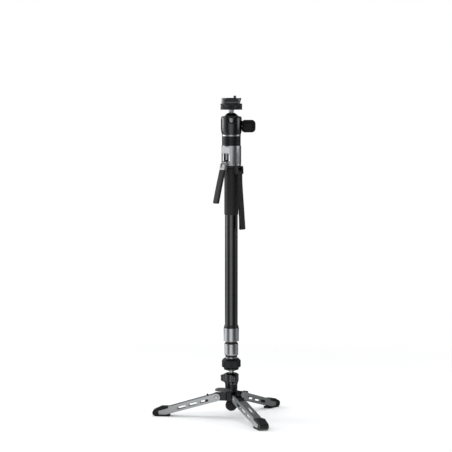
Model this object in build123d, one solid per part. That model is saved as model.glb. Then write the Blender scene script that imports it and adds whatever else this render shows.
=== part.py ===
from build123d import *
import math
import os

# Sizes in millimetres. The column stands on the Z axis, the soles of the feet at zero height,
# and the object is seen from the -Y side with its head knob on the right.

# Shared fits
running = 0.05          # radial clearance of a part that turns or slides in another
seat = 0.03             # radial clearance of two parts fixed to each other
apart = 0.3             # free gap between bodies that pass each other
overrun = 1.0           # how far a cutting tool runs past the material
edge = 0.6              # usual broken edge
facing = 180.0          # half a turn in degrees

# Directions around the column, in degrees from +X
first_leg_angle = 173.5
leg_count = 3
pedal_place_angle = -125.0
lever_place_angle = -138.0
strap_place_angle = -40.0

# Base hub and its lugs
pivot_height = 44.0
pivot_reach = 32.6
hub_radius = 13.5
hub_bottom = 37.0
seam_height = 72.5
lug_radius = 9.8
lug_root_height = 57.0
lug_root_reach = 21.0
lug_foot_height = 3.4

# Leg pins
leg_pin_radius = 3.2
leg_pin_head_radius = 4.4
leg_pin_head = 1.3

# Legs: channels that hang from the lugs, open on top
leg_pitch = 16.0
leg_width = 18.0
leg_wall = 1.8
leg_root_depth = 17.4
leg_tip_depth = 15.2
leg_length = 133.0
leg_web_start = 26.4
leg_slot_length = 20.0
leg_slot_height = 5.4
leg_slot_pitch = 26.0
leg_first_slot = 28.0
leg_slots = 3
leg_slot_drop = 1.0
web_slot_middle = 72.0
web_slot_length = 30.0
web_slot_width = 5.0

# Thumb latch in the root of each leg
latch_length = 15.5
latch_side_gap = 0.15
latch_lip_height = 4.4
latch_lip_place = 8.0
latch_scoop = 1.6
latch_floor = 3.0
latch_travel = 3.0

# Rubber shoes
shoe_tip_reach = 174.0
sole_inner_reach = 136.0
sole_outer_reach = 167.0
sole_thickness = 4.2
shoe_wall = 1.1
shoe_cap_height = 21.6
shoe_cap_start = 139.5
shoe_cap_end = 154.5
shoe_cap_skirt = 3.2
shoe_brow_reach = 171.8
shoe_brow_height = 13.6
shoe_plug_length = 22.0
shoe_nose_height = 9.5

# Ball under the hub
foot_ball_radius = 13.0
foot_ball_height = 26.7
foot_stud_radius = 4.0
foot_stud_length = 11.0

# Pedal and what it moves
pedal_pin_radius = 1.6
pedal_pin_reach = 10.4
pedal_pin_height = 61.5
pedal_pin_length = 15.0
pedal_boss_radius = 3.4
pedal_neck_width = 9.0
pedal_width = 17.0
pedal_reach = 54.0
pedal_wide_reach = 36.0
pedal_thickness = 4.6
pedal_belly = 2.4
pedal_rise = 8.0
pedal_press = 12.0
pedal_nose_reach = 3.4
pedal_nose_thickness = 3.0
pedal_nose_width = 5.0
pedal_slot_gap = 0.4
plunger_radius = 2.8
plunger_collar_radius = 5.4
plunger_collar = 1.6
plunger_guide = 7.0
spring_wire = 0.9
pedal_spring_turns = 3
mechanism_bore_radius = 7.6
mechanism_floor = 55.0

# Tilt joint: ball, cup and locking ring with three lobes
tilt_height = 87.0
tilt_ball_radius = 11.0
tilt_limit = 20.0
cup_radius = 9.4
cup_rim_drop = 6.5
cup_thickness = 3.0
spigot_radius = 11.8
spigot_height = 8.0
ring_wall_radius = 16.3
ring_top_radius = 11.4
ring_height = 25.5
ring_slope = 3.2
ring_flare_height = 6.5
ring_mouth_radius = 10.6
lobe_reach = 23.4
lobe_radius = 6.2
lobe_height = 12.4
lobe_drop = 1.4
lobe_taper = 3.4

# Stud between the tilt ball and the pan joint
stud_radius = 5.5
stud_show = 5.3
stud_flange_radius = 10.0
stud_flange = 1.3
axle_radius = 5.0
axle_nut_radius = 8.0
axle_nut = 4.0
axle_shoulder = 7.8

# Pan joint
pan_radius = 20.75
pan_height = 22.7
pan_top_bevel = 4.2
pan_bottom_bevel = 2.8
pan_teeth = 44
pan_tooth = 0.7
pan_skirt_radius = 16.3
pan_skirt = 3.1
pan_cap_radius = 16.2
pan_cap = 0.8
tube_seat_depth = 14.7

# Telescopic column, from the lowest tube up
tube_3_radius = 10.5
tube_2_radius = 12.25
tube_1_radius = 14.0
tube_3_wall = 1.3
tube_2_wall = 1.4
tube_1_wall = 1.3
tube_show = 241.3       # bare length of the upper tube between its collar and the grip
tube_1_inset = 6.3
tube_2_inset = 49.5
guide_length = 9.0
guide_step = 5.0
guide_gap = 2.8
rod_gap = 0.5

# Collars at the foot of the two sliding tubes
collar_2_radius = 15.2
collar_2_height = 27.4
collar_2_cap = 2.6
collar_2_flange_radius = 12.3
collar_2_flange = 3.8
collar_2_round = 3.0
collar_1_radius = 16.7
collar_1_height = 28.7
collar_1_cap = 6.3
collar_gap = 3.5
collar_cap_lip = 0.5
bush_length = 13.0

# Grip on the upper tube
grip_radius = 15.35
grip_length = 100.0
grip_foot_bevel = 1.4
grip_ring_radius = 20.5
grip_ring_height = 7.6
grip_ring_skirt = 4.0

# Lever housing
housing_radius = 21.4
housing_height = 43.4
housing_lip = 2.6
housing_lip_groove = 0.7
lever_slot_width = 16.0
lever_slot_height = 26.5
cover_reach = 16.6
cover_width = 26.4
cover_thickness = 1.6
cover_lip = 2.1
flat_rise = 9.5
seam_turn = 43.0
seam_width = 0.6
seam_depth = 0.6

# Lever, its pin and the rod that it lifts
lever_pin_radius = 2.4
lever_pin_reach = 18.5
lever_pin_rise = 5.4
lever_pin_length = 18.6
lever_angle = 15.0
lever_side_gap = 0.3
lever_boss_radius = 4.2
lever_inner_depth = 2.4
lever_outer_depth = 5.8
lever_knuckle_length = 16.3
lever_dimple_start = 3.8
lever_dimple_end = 11.6
lever_dimple_width = 9.0
lever_dimple = 1.1
lever_heel_length = 14.0
lever_heel_thickness = 3.2
lever_heel_width = 6.0
lever_spring_turns = 4
tang_thickness = 2.0
tang_width = 10.0
tang_length = 62.0
blade_length = 74.6
blade_thickness = 5.5
blade_width = 17.0
blade_round = 1.6
rod_radius = 2.5
rod_collar_radius = 7.0
rod_collar = 3.0
rod_head = 11.0
rod_tail = 22.0
window_gap = 0.8

# Strap lug and strap
lug_ear = 2.4
lug_ear_height = 19.0
lug_reach = 26.0
strap_pin_radius = 1.6
strap_pin_reach = 22.2
strap_pin_drop = 14.0
strap_width = 15.0
strap_thickness = 1.7
strap_length = 124.0
strap_end_radius = 3.6
strap_lean = 4.0

# Ribbed top collar that carries the head
top_collar_radius = 20.4
top_collar_height = 20.0
top_collar_ribs = 5
top_collar_rib_depth = 0.5
top_spigot_length = 14.0
head_stud_radius = 4.76
head_stud_length = 8.0

# Head base and housing
head_base_radius = 20.5
head_base_height = 3.5
head_pivot_radius = 12.0
head_pivot_height = 6.2
head_radius = 22.8
head_foot_radius = 20.4
head_foot_height = 6.5
head_height = 39.8
head_shoulder = 3.4
head_shoulder_drop = 3.6
ball_radius = 18.2
ball_drop = 9.6
notch_radius = 6.75
notch_flare = 5.0
notch_flare_height = 7.5
ball_cup_wall = 1.5
ball_cup_rim = 25.0
ball_cup_hole = 5.0
ball_cup_room = 1.0
ball_side_limit = 24.0
ball_front_limit = 28.0

# Head knob
knob_drop = 12.0
knob_radius = 13.8
knob_length = 26.0
knob_neck_radius = 11.2
knob_neck = 3.4
knob_round = 8.5
knob_flutes = 9
knob_flute_radius = 6.0
knob_flute_depth = 1.3
knob_shaft_radius = 3.0
knob_shaft_hold = 14.0

# Stem and quick clamp
stem_radius = 6.3
stem_height = 5.0
stem_pin_radius = 4.5
stem_pin_depth = 12.0
stem_top_radius = 5.0
stem_top_length = 10.0
clamp_ring_radius = 23.5
clamp_ring_height = 13.4
clamp_ring_teeth = 60
clamp_ring_tooth = 0.5
clamp_ring_band = 2.2
clamp_hub_radius = 9.2
clamp_half_width = 21.3
clamp_half_length = 19.0
clamp_plan_radius = 24.6
clamp_floor = 3.4
clamp_height = 11.6
jaw_undercut = 1.8
jaw_undercut_height = 5.0
jaw_tenon_width = 10.0
jaw_tenon_height = 1.6
jaw_tenon_length = 7.0
jaw_open = 3.0

# Camera plate
plate_flange_half = 15.0
plate_neck_half = 12.6
plate_flange = 2.4
plate_slope = 2.2
plate_height = 7.4
plate_half_length = 19.0
plate_fit = 0.1
plate_pad = 0.8
plate_pad_margin = 1.0
screw_radius = 3.175
screw_neck_radius = 2.4
screw_show = 5.0
screw_head_radius = 5.4
screw_head = 2.8
screw_offset = 7.4
screw_slot_half = 7.6
screw_gap = 0.15

# Heights that follow from the sizes above
ring_top = seam_height + apart + ring_height
flange_bottom = ring_top + stud_show
skirt_bottom = flange_bottom + stud_flange + apart
pan_bottom = skirt_bottom + pan_skirt
pan_top = pan_bottom + pan_height
tube_3_bottom = pan_top - tube_seat_depth
axle_shoulder_height = skirt_bottom + axle_shoulder
collar_2_foot = pan_top + apart
collar_2_bottom = collar_2_foot + collar_2_flange
tube_2_bottom = collar_2_bottom + bush_length
collar_2_top = collar_2_bottom + collar_2_height
collar_2_cap_top = collar_2_top + collar_2_cap
collar_1_bottom = collar_2_cap_top + collar_gap
tube_1_bottom = collar_1_bottom + bush_length
collar_1_top = collar_1_bottom + collar_1_height
collar_1_cap_top = collar_1_top + collar_1_cap
grip_bottom = collar_1_cap_top + tube_show
grip_ring_bottom = grip_bottom + grip_length
housing_bottom = grip_ring_bottom + grip_ring_height
housing_top = housing_bottom + housing_height
tube_1_top = housing_top - tube_1_inset
tube_2_top = tube_1_top - tube_2_inset
tube_3_top = tube_2_top - guide_gap - guide_length
lever_height = housing_bottom + lever_pin_rise
rod_collar_bottom = lever_height + lever_heel_thickness / 2 + apart
top_collar_top = housing_top + top_collar_height
head_base_top = top_collar_top + head_base_height
head_bottom = head_base_top + apart
head_top = head_bottom + head_height
ball_height = head_top - ball_drop
knob_height = ball_height - knob_drop
stem_bottom = ball_height + ball_radius + apart
clamp_ring_bottom = stem_bottom + stem_height
clamp_bottom = clamp_ring_bottom + clamp_ring_height + apart
clamp_floor_top = clamp_bottom + clamp_floor
clamp_top = clamp_bottom + clamp_height
plate_bottom = clamp_floor_top + apart
plate_top = plate_bottom + plate_height
pad_top = plate_top + plate_pad
screw_top = pad_top + screw_show

MIN_Z = (Align.CENTER, Align.CENTER, Align.MIN)


def disc(radius, bottom, top):
    return Pos(0, 0, bottom) * Cylinder(radius, top - bottom, align=MIN_Z)


def tube(outer, inner, bottom, top):
    return disc(outer, bottom, top) - disc(inner, bottom - overrun, top + overrun)


def turned(*points):
    """A solid turned about Z from an outline of radius and height pairs."""
    return revolve(Plane.XZ * make_face(Polyline(*points, close=True)), Axis.Z)


def ball_at(radius, height):
    return Pos(0, 0, height) * Sphere(radius)


def around(solid, direction):
    return Rot(0, 0, direction) * solid


def side_plate(points, width):
    """A plate of an outline in radius and height, centred on the XZ plane."""
    return extrude(Plane.XZ * make_face(Polyline(*points, close=True)), width / 2, both=True)


def cross_pin(radius, length, reach, height):
    """A pin along Y at a reach and height."""
    return Pos(reach, 0, height) * Rot(90, 0, 0) * Cylinder(radius, length)


def block(x_low, x_high, width, z_low, z_high):
    size = Box(x_high - x_low, width, z_high - z_low)
    return Pos((x_low + x_high) / 2, 0, (z_low + z_high) / 2) * size


def toothed(radius, depth, teeth, bottom, top):
    """A prism with V teeth around it, for a knurled band."""
    points = []
    for i in range(2 * teeth):
        reach = radius - depth * (i % 2)
        turn = facing * i / teeth
        points.append((reach * math.cos(math.radians(turn)), reach * math.sin(math.radians(turn))))
    face = make_face(Polyline(*points, close=True))
    return Pos(0, 0, bottom) * extrude(face, top - bottom)


def slot_shape(half_travel, radius, bottom, top, across=0):
    """A slot along X with round ends, as a solid between two heights."""
    straight = block(-half_travel, half_travel, 2 * radius, bottom, top)
    ends = [Pos(x, 0, 0) * disc(radius, bottom, top) for x in (-half_travel, half_travel)]
    return Pos(across, 0, 0) * (straight + ends[0] + ends[1])


def coil(wire, inner, turns):
    """A close-wound coil about Z, one rounded crest a turn, centred on zero height."""
    half = wire * turns
    crests = [(inner, -half)]
    for i in range(turns):
        low = 2 * wire * i - half
        crests += [(inner + wire, low), (inner + 2 * wire, low + wire)]
    crests += [(inner + wire, half), (inner, half)]
    return turned(*crests)


# Base

def leg_point(along, above):
    """Radius and height of a point given along the leg from its pin and above its middle line."""
    pitch = math.radians(leg_pitch)
    reach = pivot_reach + along * math.cos(pitch) + above * math.sin(pitch)
    return reach, pivot_height - along * math.sin(pitch) + above * math.cos(pitch)


def leg_half_depth(along):
    share = along / leg_length
    return (leg_root_depth + (leg_tip_depth - leg_root_depth) * share) / 2


def leg_inner_width():
    return leg_width - 2 * leg_wall


def leg_angles():
    return [first_leg_angle + 2 * facing * i / leg_count for i in range(leg_count)]


def hub_lug():
    width = leg_inner_width() - 2 * apart
    low = pivot_height - lug_radius + lug_foot_height
    points = [
        (0, hub_bottom),
        (hub_radius, hub_bottom),
        (pivot_reach, low),
        (pivot_reach, pivot_height + lug_radius),
        (lug_root_reach, pivot_height + lug_radius),
        (hub_radius, lug_root_height),
        (0, lug_root_height),
    ]
    lug = side_plate(points, width) + cross_pin(lug_radius, width, pivot_reach, pivot_height)
    foot = block(0, pivot_reach + lug_radius, leg_width, 0, hub_bottom)
    return lug - foot - cross_pin(leg_pin_radius + seat, 2 * leg_width, pivot_reach, pivot_height)


def pedal_slot():
    width = pedal_neck_width + 2 * pedal_slot_gap
    slot_low = pedal_pin_height - pedal_thickness / 2 - pedal_pin_reach * math.tan(math.radians(pedal_press))
    return block(0, hub_radius + overrun, width, slot_low, pedal_pin_height + pedal_boss_radius + pedal_slot_gap + edge)


def base_hub():
    spigot_top = seam_height + spigot_height
    cup_floor = tilt_height - cup_rim_drop - cup_thickness - (tilt_ball_radius - cup_rim_drop)
    body = turned(
        (0, hub_bottom),
        (hub_radius - edge, hub_bottom),
        (hub_radius, hub_bottom + edge),
        (hub_radius, seam_height),
        (spigot_radius, seam_height),
        (spigot_radius, spigot_top),
        (0, spigot_top),
    )
    for angle in leg_angles():
        body += around(hub_lug(), angle)
    body -= disc(cup_radius + running, cup_floor, spigot_top + overrun)
    body -= disc(mechanism_bore_radius, mechanism_floor, cup_floor + overrun)
    body -= disc(plunger_radius + running, mechanism_floor - plunger_guide, mechanism_floor + overrun)
    body -= disc(foot_stud_radius + seat, hub_bottom - overrun, hub_bottom + foot_stud_length + seat)
    cuts = pedal_slot() + cross_pin(pedal_pin_radius + seat, pedal_pin_length + 2 * seat, pedal_pin_reach, pedal_pin_height)
    return body - around(cuts, pedal_place_angle)


def ball_foot():
    ball = ball_at(foot_ball_radius, foot_ball_height)
    ball -= disc(foot_ball_radius, hub_bottom, foot_ball_height + 2 * foot_ball_radius)
    return ball + disc(foot_stud_radius, foot_ball_height, hub_bottom + foot_stud_length)


def leg_pins():
    length = leg_width + 2 * apart
    pin = cross_pin(leg_pin_radius, length + 2 * leg_pin_head, pivot_reach, pivot_height)
    for side in (-1, 1):
        head = Pos(0, side * (length + leg_pin_head) / 2, 0)
        pin += head * cross_pin(leg_pin_head_radius, leg_pin_head, pivot_reach, pivot_height)
    return [around(pin, angle) for angle in leg_angles()]


def pedal_pin():
    return around(cross_pin(pedal_pin_radius, pedal_pin_length, pedal_pin_reach, pedal_pin_height), pedal_place_angle)


def pedal_spring():
    spring = Rot(90, 0, 0) * coil(spring_wire / 2, pedal_pin_radius + running, pedal_spring_turns)
    return around(Pos(pedal_pin_reach, 0, pedal_pin_height) * spring, pedal_place_angle)


# Legs

def leg_outline(inset):
    """The side of the channel: a round root, then two straight edges that draw together."""
    tip = leg_length
    steps = 12
    root = []
    for i in range(steps + 1):
        turn = math.radians(facing / 2 + facing * i / steps)
        radius = leg_root_depth / 2 - inset
        root.append(leg_point(radius * math.cos(turn), radius * math.sin(turn)))
    return root + [leg_point(tip, inset - leg_half_depth(tip)), leg_point(tip, leg_half_depth(tip) - inset)]


def leg_channel():
    channel = side_plate(leg_outline(0), leg_width)
    inside = [
        leg_point(-leg_root_depth, -leg_root_depth),
        leg_point(leg_length + overrun, -leg_root_depth),
        leg_point(leg_length + overrun, leg_half_depth(leg_length) - leg_wall),
        leg_point(leg_web_start, leg_half_depth(leg_web_start) - leg_wall),
        leg_point(leg_web_start, leg_root_depth),
        leg_point(-leg_root_depth, leg_root_depth),
    ]
    channel -= side_plate(inside, leg_inner_width())
    channel -= cross_pin(leg_pin_radius + running, 2 * leg_width, pivot_reach, pivot_height)
    for i in range(leg_slots):
        channel -= leg_slot(leg_first_slot + leg_slot_pitch * i)
    reach, height = leg_point(web_slot_middle, 0)
    web_slot = slot_shape((web_slot_length - web_slot_width) / 2, web_slot_width / 2, 0, leg_root_depth)
    channel -= Pos(reach, 0, height) * Rot(0, leg_pitch, 0) * web_slot
    return channel - block(0, 2 * shoe_tip_reach, 2 * leg_width, -leg_root_depth, sole_thickness)


def leg_slot(middle):
    radius = leg_slot_height / 2
    half = leg_slot_length / 2 - radius
    corners = [
        leg_point(middle - half, -leg_slot_drop - radius),
        leg_point(middle + half, -leg_slot_drop - radius),
        leg_point(middle + half, radius - leg_slot_drop),
        leg_point(middle - half, radius - leg_slot_drop),
    ]
    slot = side_plate(corners, 2 * leg_width)
    for along in (middle - half, middle + half):
        slot += cross_pin(radius, 2 * leg_width, *leg_point(along, -leg_slot_drop))
    return slot


def leg_latch():
    start = lug_radius + 2 * apart
    end = start + latch_length
    top = leg_half_depth(end)
    width = leg_inner_width() - 2 * latch_side_gap
    outline = [
        leg_point(start, latch_floor - top),
        leg_point(end, latch_floor - top),
        leg_point(end, top),
        leg_point(start + latch_lip_place + latch_scoop, top),
        leg_point(start + latch_lip_place, top + latch_lip_height),
        leg_point(start + latch_lip_place - latch_scoop, top + edge),
        leg_point(start + latch_scoop, top - latch_scoop),
        leg_point(start, top - latch_scoop / 2),
    ]
    return side_plate(outline, width)


def leg_shoe():
    """A boot: a plug between the walls, a cap that wraps the top edges, a nose and a flat sole."""
    tip = leg_length
    nose_low = leg_point(tip, 0)[0]
    width = leg_width + 2 * shoe_wall
    nose = side_plate(
        [
            (nose_low, 0),
            (sole_outer_reach, 0),
            (shoe_tip_reach - edge, sole_thickness),
            (shoe_tip_reach, shoe_nose_height),
            (shoe_brow_reach, shoe_brow_height),
            (shoe_cap_end, shoe_cap_height),
            leg_point(tip + seat, leg_half_depth(tip)),
            leg_point(tip + seat, -leg_tip_depth / 2),
        ],
        width,
    )
    cap_inner = leg_length - (leg_point(tip, leg_half_depth(tip))[0] - shoe_cap_start) / math.cos(math.radians(leg_pitch))
    cap = side_plate(
        [
            (shoe_cap_end, shoe_cap_height),
            (shoe_cap_start, shoe_cap_height),
            leg_point(cap_inner, leg_half_depth(cap_inner) - shoe_cap_skirt),
            leg_point(tip + seat, leg_half_depth(tip) - shoe_cap_skirt),
            leg_point(tip + seat, leg_half_depth(tip)),
        ],
        width,
    )
    cap -= side_plate(leg_outline(-seat), leg_width + 2 * seat)
    sole = block(sole_inner_reach, sole_outer_reach, leg_width, 0, sole_thickness)
    plug_start = tip - shoe_plug_length
    plug = side_plate(
        [
            leg_point(plug_start, -leg_half_depth(plug_start)),
            leg_point(tip + 2 * overrun, -leg_half_depth(tip)),
            leg_point(tip + 2 * overrun, leg_half_depth(tip) - leg_wall - seat),
            leg_point(plug_start, leg_half_depth(plug_start) - leg_wall - seat),
        ],
        leg_inner_width() - 2 * seat,
    )
    plug -= block(0, 2 * shoe_tip_reach, 2 * leg_width, -leg_root_depth, sole_thickness)
    return nose + cap + sole + plug


# Pedal and brake

def pedal():
    """A leaf-shaped tread that rises outwards, with a boss on its pin and a nose towards the axis."""
    rise = math.tan(math.radians(pedal_rise))
    neck = pedal_neck_width / 2
    wide = pedal_width / 2
    start = pedal_pin_reach
    outline = Polyline((start, -neck), (hub_radius + wide, -neck)) + Spline(
        (hub_radius + wide, -neck), (pedal_wide_reach, -wide), (pedal_reach, 0),
        tangents=((1, 0), (0, 1)),
    )
    half = outline + Line((pedal_reach, 0), (start, 0)) + Line((start, 0), (start, -neck))
    face = make_face(half)
    face += mirror(face, Plane.XZ)
    blank = extrude(face, 2 * pedal_height_span())
    blank = Pos(0, 0, pedal_pin_height - pedal_height_span()) * blank
    low = pedal_pin_height - pedal_thickness / 2
    side = side_plate(
        [
            (start, low),
            (hub_radius + edge, low),
            (pedal_wide_reach, low + (pedal_wide_reach - start) * rise - pedal_belly),
            (pedal_reach + overrun, low + (pedal_reach - start) * rise + edge),
            (pedal_reach + overrun, low + (pedal_reach - start) * rise + pedal_thickness * 3 / 4),
            (pedal_wide_reach, low + (pedal_wide_reach - start) * rise + pedal_thickness),
            (start, low + pedal_thickness),
        ],
        2 * pedal_width,
    )
    tread = blank & side
    boss = cross_pin(pedal_boss_radius, pedal_neck_width, pedal_pin_reach, pedal_pin_height)
    nose_top = pedal_pin_height + pedal_nose_thickness / 2
    nose = block(pedal_nose_reach, pedal_pin_reach, pedal_nose_width, nose_top - pedal_nose_thickness, nose_top)
    lever = tread + boss + nose
    lever -= cross_pin(pedal_pin_radius + running, 2 * pedal_width, pedal_pin_reach, pedal_pin_height)
    pocket = cross_pin(
        pedal_pin_radius + spring_wire + 3 * running + apart,
        spring_wire * pedal_spring_turns + 2 * apart, pedal_pin_reach, pedal_pin_height,
    )
    return around(lever - pocket, pedal_place_angle)


def pedal_height_span():
    return (pedal_reach - pedal_pin_reach) * math.tan(math.radians(pedal_rise)) + pedal_thickness


def brake_plunger():
    collar_low = pedal_pin_height + pedal_nose_thickness / 2 + apart
    top = tilt_height - tilt_ball_radius - plunger_lift() - 2 * apart
    rod = disc(plunger_radius, mechanism_floor - plunger_guide + apart, top)
    return rod + disc(plunger_collar_radius, collar_low, collar_low + plunger_collar)


def plunger_lift():
    return (pedal_pin_reach - pedal_nose_reach) * math.radians(pedal_press)


# Tilt joint

def tilt_lock_ring():
    bottom = seam_height + apart
    top = bottom + ring_height
    lobe_top = top - ring_slope - lobe_drop
    lobe_low = lobe_top - lobe_height
    body = turned(
        (0, bottom),
        (hub_radius, bottom),
        (hub_radius + edge, bottom + lobe_taper),
        (ring_wall_radius, lobe_low - edge),
        (ring_wall_radius, top - ring_slope),
        (ring_top_radius, top),
        (0, top),
    )
    envelope = turned(
        (0, lobe_low - lobe_taper),
        (ring_wall_radius, lobe_low - lobe_taper),
        (lobe_reach - edge, lobe_low),
        (lobe_reach, lobe_low + edge),
        (lobe_reach, lobe_top - 2 * edge),
        (lobe_reach - 2 * edge, lobe_top),
        (ring_wall_radius, lobe_top + lobe_drop),
        (0, lobe_top + lobe_drop),
    )
    middle = lobe_reach - lobe_radius
    for angle in leg_angles():
        plan = Pos(middle, 0) * Circle(lobe_radius)
        plan += Pos(middle / 2, 0) * Rectangle(middle, 2 * lobe_radius)
        lobe = Pos(0, 0, lobe_low - lobe_taper) * extrude(plan, ring_height)
        body += around(lobe, angle) & envelope
    body -= disc(spigot_radius + running, bottom - overrun, tilt_height)
    body -= ball_at(tilt_ball_radius + running, tilt_height)
    mouth_low = tilt_height + ring_flare_height
    mouth_radius = math.sqrt((tilt_ball_radius + running) ** 2 - ring_flare_height ** 2)
    return body - turned((0, tilt_height), (mouth_radius, tilt_height), (mouth_radius, mouth_low),
                         (ring_mouth_radius, top + seat), (0, top + seat))


def ball_seat():
    floor = tilt_height - tilt_ball_radius - cup_thickness
    cup = disc(cup_radius, floor + apart, tilt_height - cup_rim_drop)
    return cup - ball_at(tilt_ball_radius + running, tilt_height) - disc(plunger_radius + apart, floor, tilt_height)


def tilt_ball():
    """The ball, its stud with a thrust flange, and the axle of the pan joint."""
    axle_top = axle_shoulder_height + apart + axle_nut
    return (
        ball_at(tilt_ball_radius, tilt_height)
        + disc(stud_radius, tilt_height, flange_bottom)
        + disc(stud_flange_radius, flange_bottom, flange_bottom + stud_flange)
        + disc(axle_radius, flange_bottom, axle_top)
    )


def pan_nut():
    bottom = axle_shoulder_height + apart
    nut = Pos(0, 0, bottom) * extrude(RegularPolygon(axle_nut_radius, 6), axle_nut)
    return nut - disc(axle_radius + seat, bottom - overrun, bottom + axle_nut + overrun)


# Pan joint and lowest tube

def pan_coupling():
    low = pan_bottom
    top = pan_top
    core = pan_radius - pan_tooth
    body = turned(
        (0, low),
        (pan_radius - pan_bottom_bevel, low),
        (core, low + pan_bottom_bevel - pan_tooth),
        (core, top - pan_top_bevel + pan_tooth),
        (pan_radius - pan_top_bevel, top),
        (0, top),
    )
    body += toothed(pan_radius, pan_tooth, pan_teeth, low + pan_bottom_bevel, top - pan_top_bevel)
    body -= disc(axle_radius + running, low - overrun, top)
    body -= disc(axle_nut_radius + apart, axle_shoulder_height, top)
    body -= disc(tube_3_radius + seat, tube_3_bottom, top + overrun)
    return body - disc(pan_cap_radius + seat, top - pan_cap, top + overrun)


def pan_skirt_ring():
    return tube(pan_skirt_radius, axle_radius + running, skirt_bottom, pan_bottom)


def pan_cap_ring():
    return tube(pan_cap_radius, tube_3_radius + seat, pan_top - pan_cap, pan_top)


def tube_3():
    return tube(tube_3_radius, tube_3_radius - tube_3_wall, tube_3_bottom, tube_3_top)


def tube_guide(outer, bore, top):
    """A sleeve on the end of a tube: a plug in its bore and a head that slides in the next tube."""
    plug = disc(bore - seat, top - guide_step, top)
    head = disc(outer, top, top + guide_length - guide_step)
    hole = disc(rod_radius + rod_gap, top - guide_length, top + guide_length)
    return plug + head - hole


def tube_3_guide():
    outer = tube_2_radius - tube_2_wall - running
    return tube_guide(outer, tube_3_radius - tube_3_wall, tube_3_top)


# Middle tube

def tube_2():
    return tube(tube_2_radius, tube_2_radius - tube_2_wall, tube_2_bottom, tube_2_top)


def collar_2():
    low = collar_2_bottom
    outline = turned(
        (0, low),
        (collar_2_radius - collar_2_round, low),
        (collar_2_radius - edge, low + collar_2_round * 2 / 3),
        (collar_2_radius, low + 2 * collar_2_round),
        (collar_2_radius, collar_2_top),
        (0, collar_2_top),
    )
    return outline - disc(tube_2_radius + seat, low - overrun, collar_2_top + overrun)


def collar_2_cap_ring():
    outline = turned(
        (0, collar_2_top),
        (collar_2_radius - collar_cap_lip, collar_2_top),
        (collar_2_radius - collar_cap_lip, collar_2_top + collar_2_cap / 2),
        (tube_2_radius + collar_2_cap / 2, collar_2_cap_top),
        (0, collar_2_cap_top),
    )
    return outline - disc(tube_2_radius + seat, collar_2_top - overrun, collar_2_cap_top + overrun)


def collar_2_bush():
    bush = disc(collar_2_flange_radius, collar_2_foot, collar_2_bottom)
    bush += disc(tube_2_radius, collar_2_bottom, tube_2_bottom)
    return bush - disc(tube_3_radius + running, collar_2_foot - overrun, tube_2_bottom + overrun)


def tube_2_guide():
    outer = tube_1_radius - tube_1_wall - running
    return tube_guide(outer, tube_2_radius - tube_2_wall, tube_2_top)


# Upper tube with its grip and lever housing

def tube_1():
    body = tube(tube_1_radius, tube_1_radius - tube_1_wall, tube_1_bottom, tube_1_top)
    half = lever_heel_width / 2 + window_gap
    low = lever_height - lever_heel_thickness / 2 - window_gap
    high = lever_height + lever_heel_thickness + lever_heel_length * math.sin(math.radians(lever_angle))
    window = block(0, tube_1_radius + overrun, 2 * half, low, high)
    return body - around(window, lever_place_angle)


def collar_1():
    outline = turned(
        (0, collar_1_bottom),
        (collar_1_radius - edge, collar_1_bottom),
        (collar_1_radius, collar_1_bottom + edge),
        (collar_1_radius, collar_1_top),
        (0, collar_1_top),
    )
    return outline - disc(tube_1_radius + seat, collar_1_bottom - overrun, collar_1_top + overrun)


def collar_1_cap_ring():
    outline = turned(
        (0, collar_1_top),
        (collar_1_radius - collar_cap_lip, collar_1_top),
        (collar_1_radius - 2 * collar_cap_lip, collar_1_top + collar_1_cap / 2),
        (tube_1_radius + collar_cap_lip, collar_1_cap_top),
        (0, collar_1_cap_top),
    )
    return outline - disc(tube_1_radius + seat, collar_1_top - overrun, collar_1_cap_top + overrun)


def collar_1_bush():
    return tube(tube_1_radius, tube_2_radius + running, collar_1_bottom, tube_1_bottom)


def grip():
    outline = turned(
        (0, grip_bottom),
        (grip_radius - grip_foot_bevel, grip_bottom),
        (grip_radius, grip_bottom + grip_foot_bevel),
        (grip_radius, grip_ring_bottom),
        (0, grip_ring_bottom),
    )
    return outline - disc(tube_1_radius + seat, grip_bottom - overrun, grip_ring_bottom + overrun)


def lever_notch(bottom, top):
    """The space that the lever's knuckle swings in, cut through the parts beside it."""
    return block(tube_1_radius + 2 * running, lug_reach, lever_slot_width + 2 * apart, bottom, top)


def grip_ring():
    low = grip_ring_bottom
    outline = turned(
        (0, low),
        (grip_radius, low),
        (grip_ring_radius, low + grip_ring_skirt),
        (grip_ring_radius, housing_bottom),
        (0, housing_bottom),
    )
    outline -= disc(tube_1_radius + seat, low - overrun, housing_bottom + overrun)
    return outline - around(lever_notch(low - overrun, housing_bottom + overrun), lever_place_angle)


def lever_housing():
    low = housing_bottom
    groove = low + housing_lip
    body = turned(
        (0, low),
        (housing_radius - edge, low),
        (housing_radius, low + edge),
        (housing_radius, groove),
        (housing_radius - housing_lip_groove, groove + edge / 2),
        (housing_radius - housing_lip_groove, groove + edge),
        (housing_radius, groove + 2 * edge),
        (housing_radius, housing_top - edge),
        (housing_radius - edge, housing_top),
        (0, housing_top),
    )
    body -= disc(tube_1_radius + seat, low - overrun, housing_top + overrun)
    slot = block(0, housing_radius + overrun, lever_slot_width, low - overrun, low + lever_slot_height)
    slot += cross_pin(lever_pin_radius + seat, lever_pin_length + 2 * seat, lever_pin_reach, lever_height)
    body -= around(slot, lever_place_angle)
    flat = lever_flat(housing_radius + overrun, low + flat_rise, seat)
    seam = block(housing_radius - seam_depth, housing_radius + overrun, seam_width, groove + 2 * edge, housing_top - edge)
    return body - flat - around(seam, lever_place_angle + seam_turn)


def lever_flat(outer, bottom, gap):
    """The flat above the lever slot, cut into the housing, or the plate that lies on it."""
    floor = cover_reach - cover_thickness
    plate = block(floor - gap, outer, cover_width + 2 * gap, bottom, housing_top - cover_lip + gap)
    return around(plate, lever_place_angle)


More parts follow.
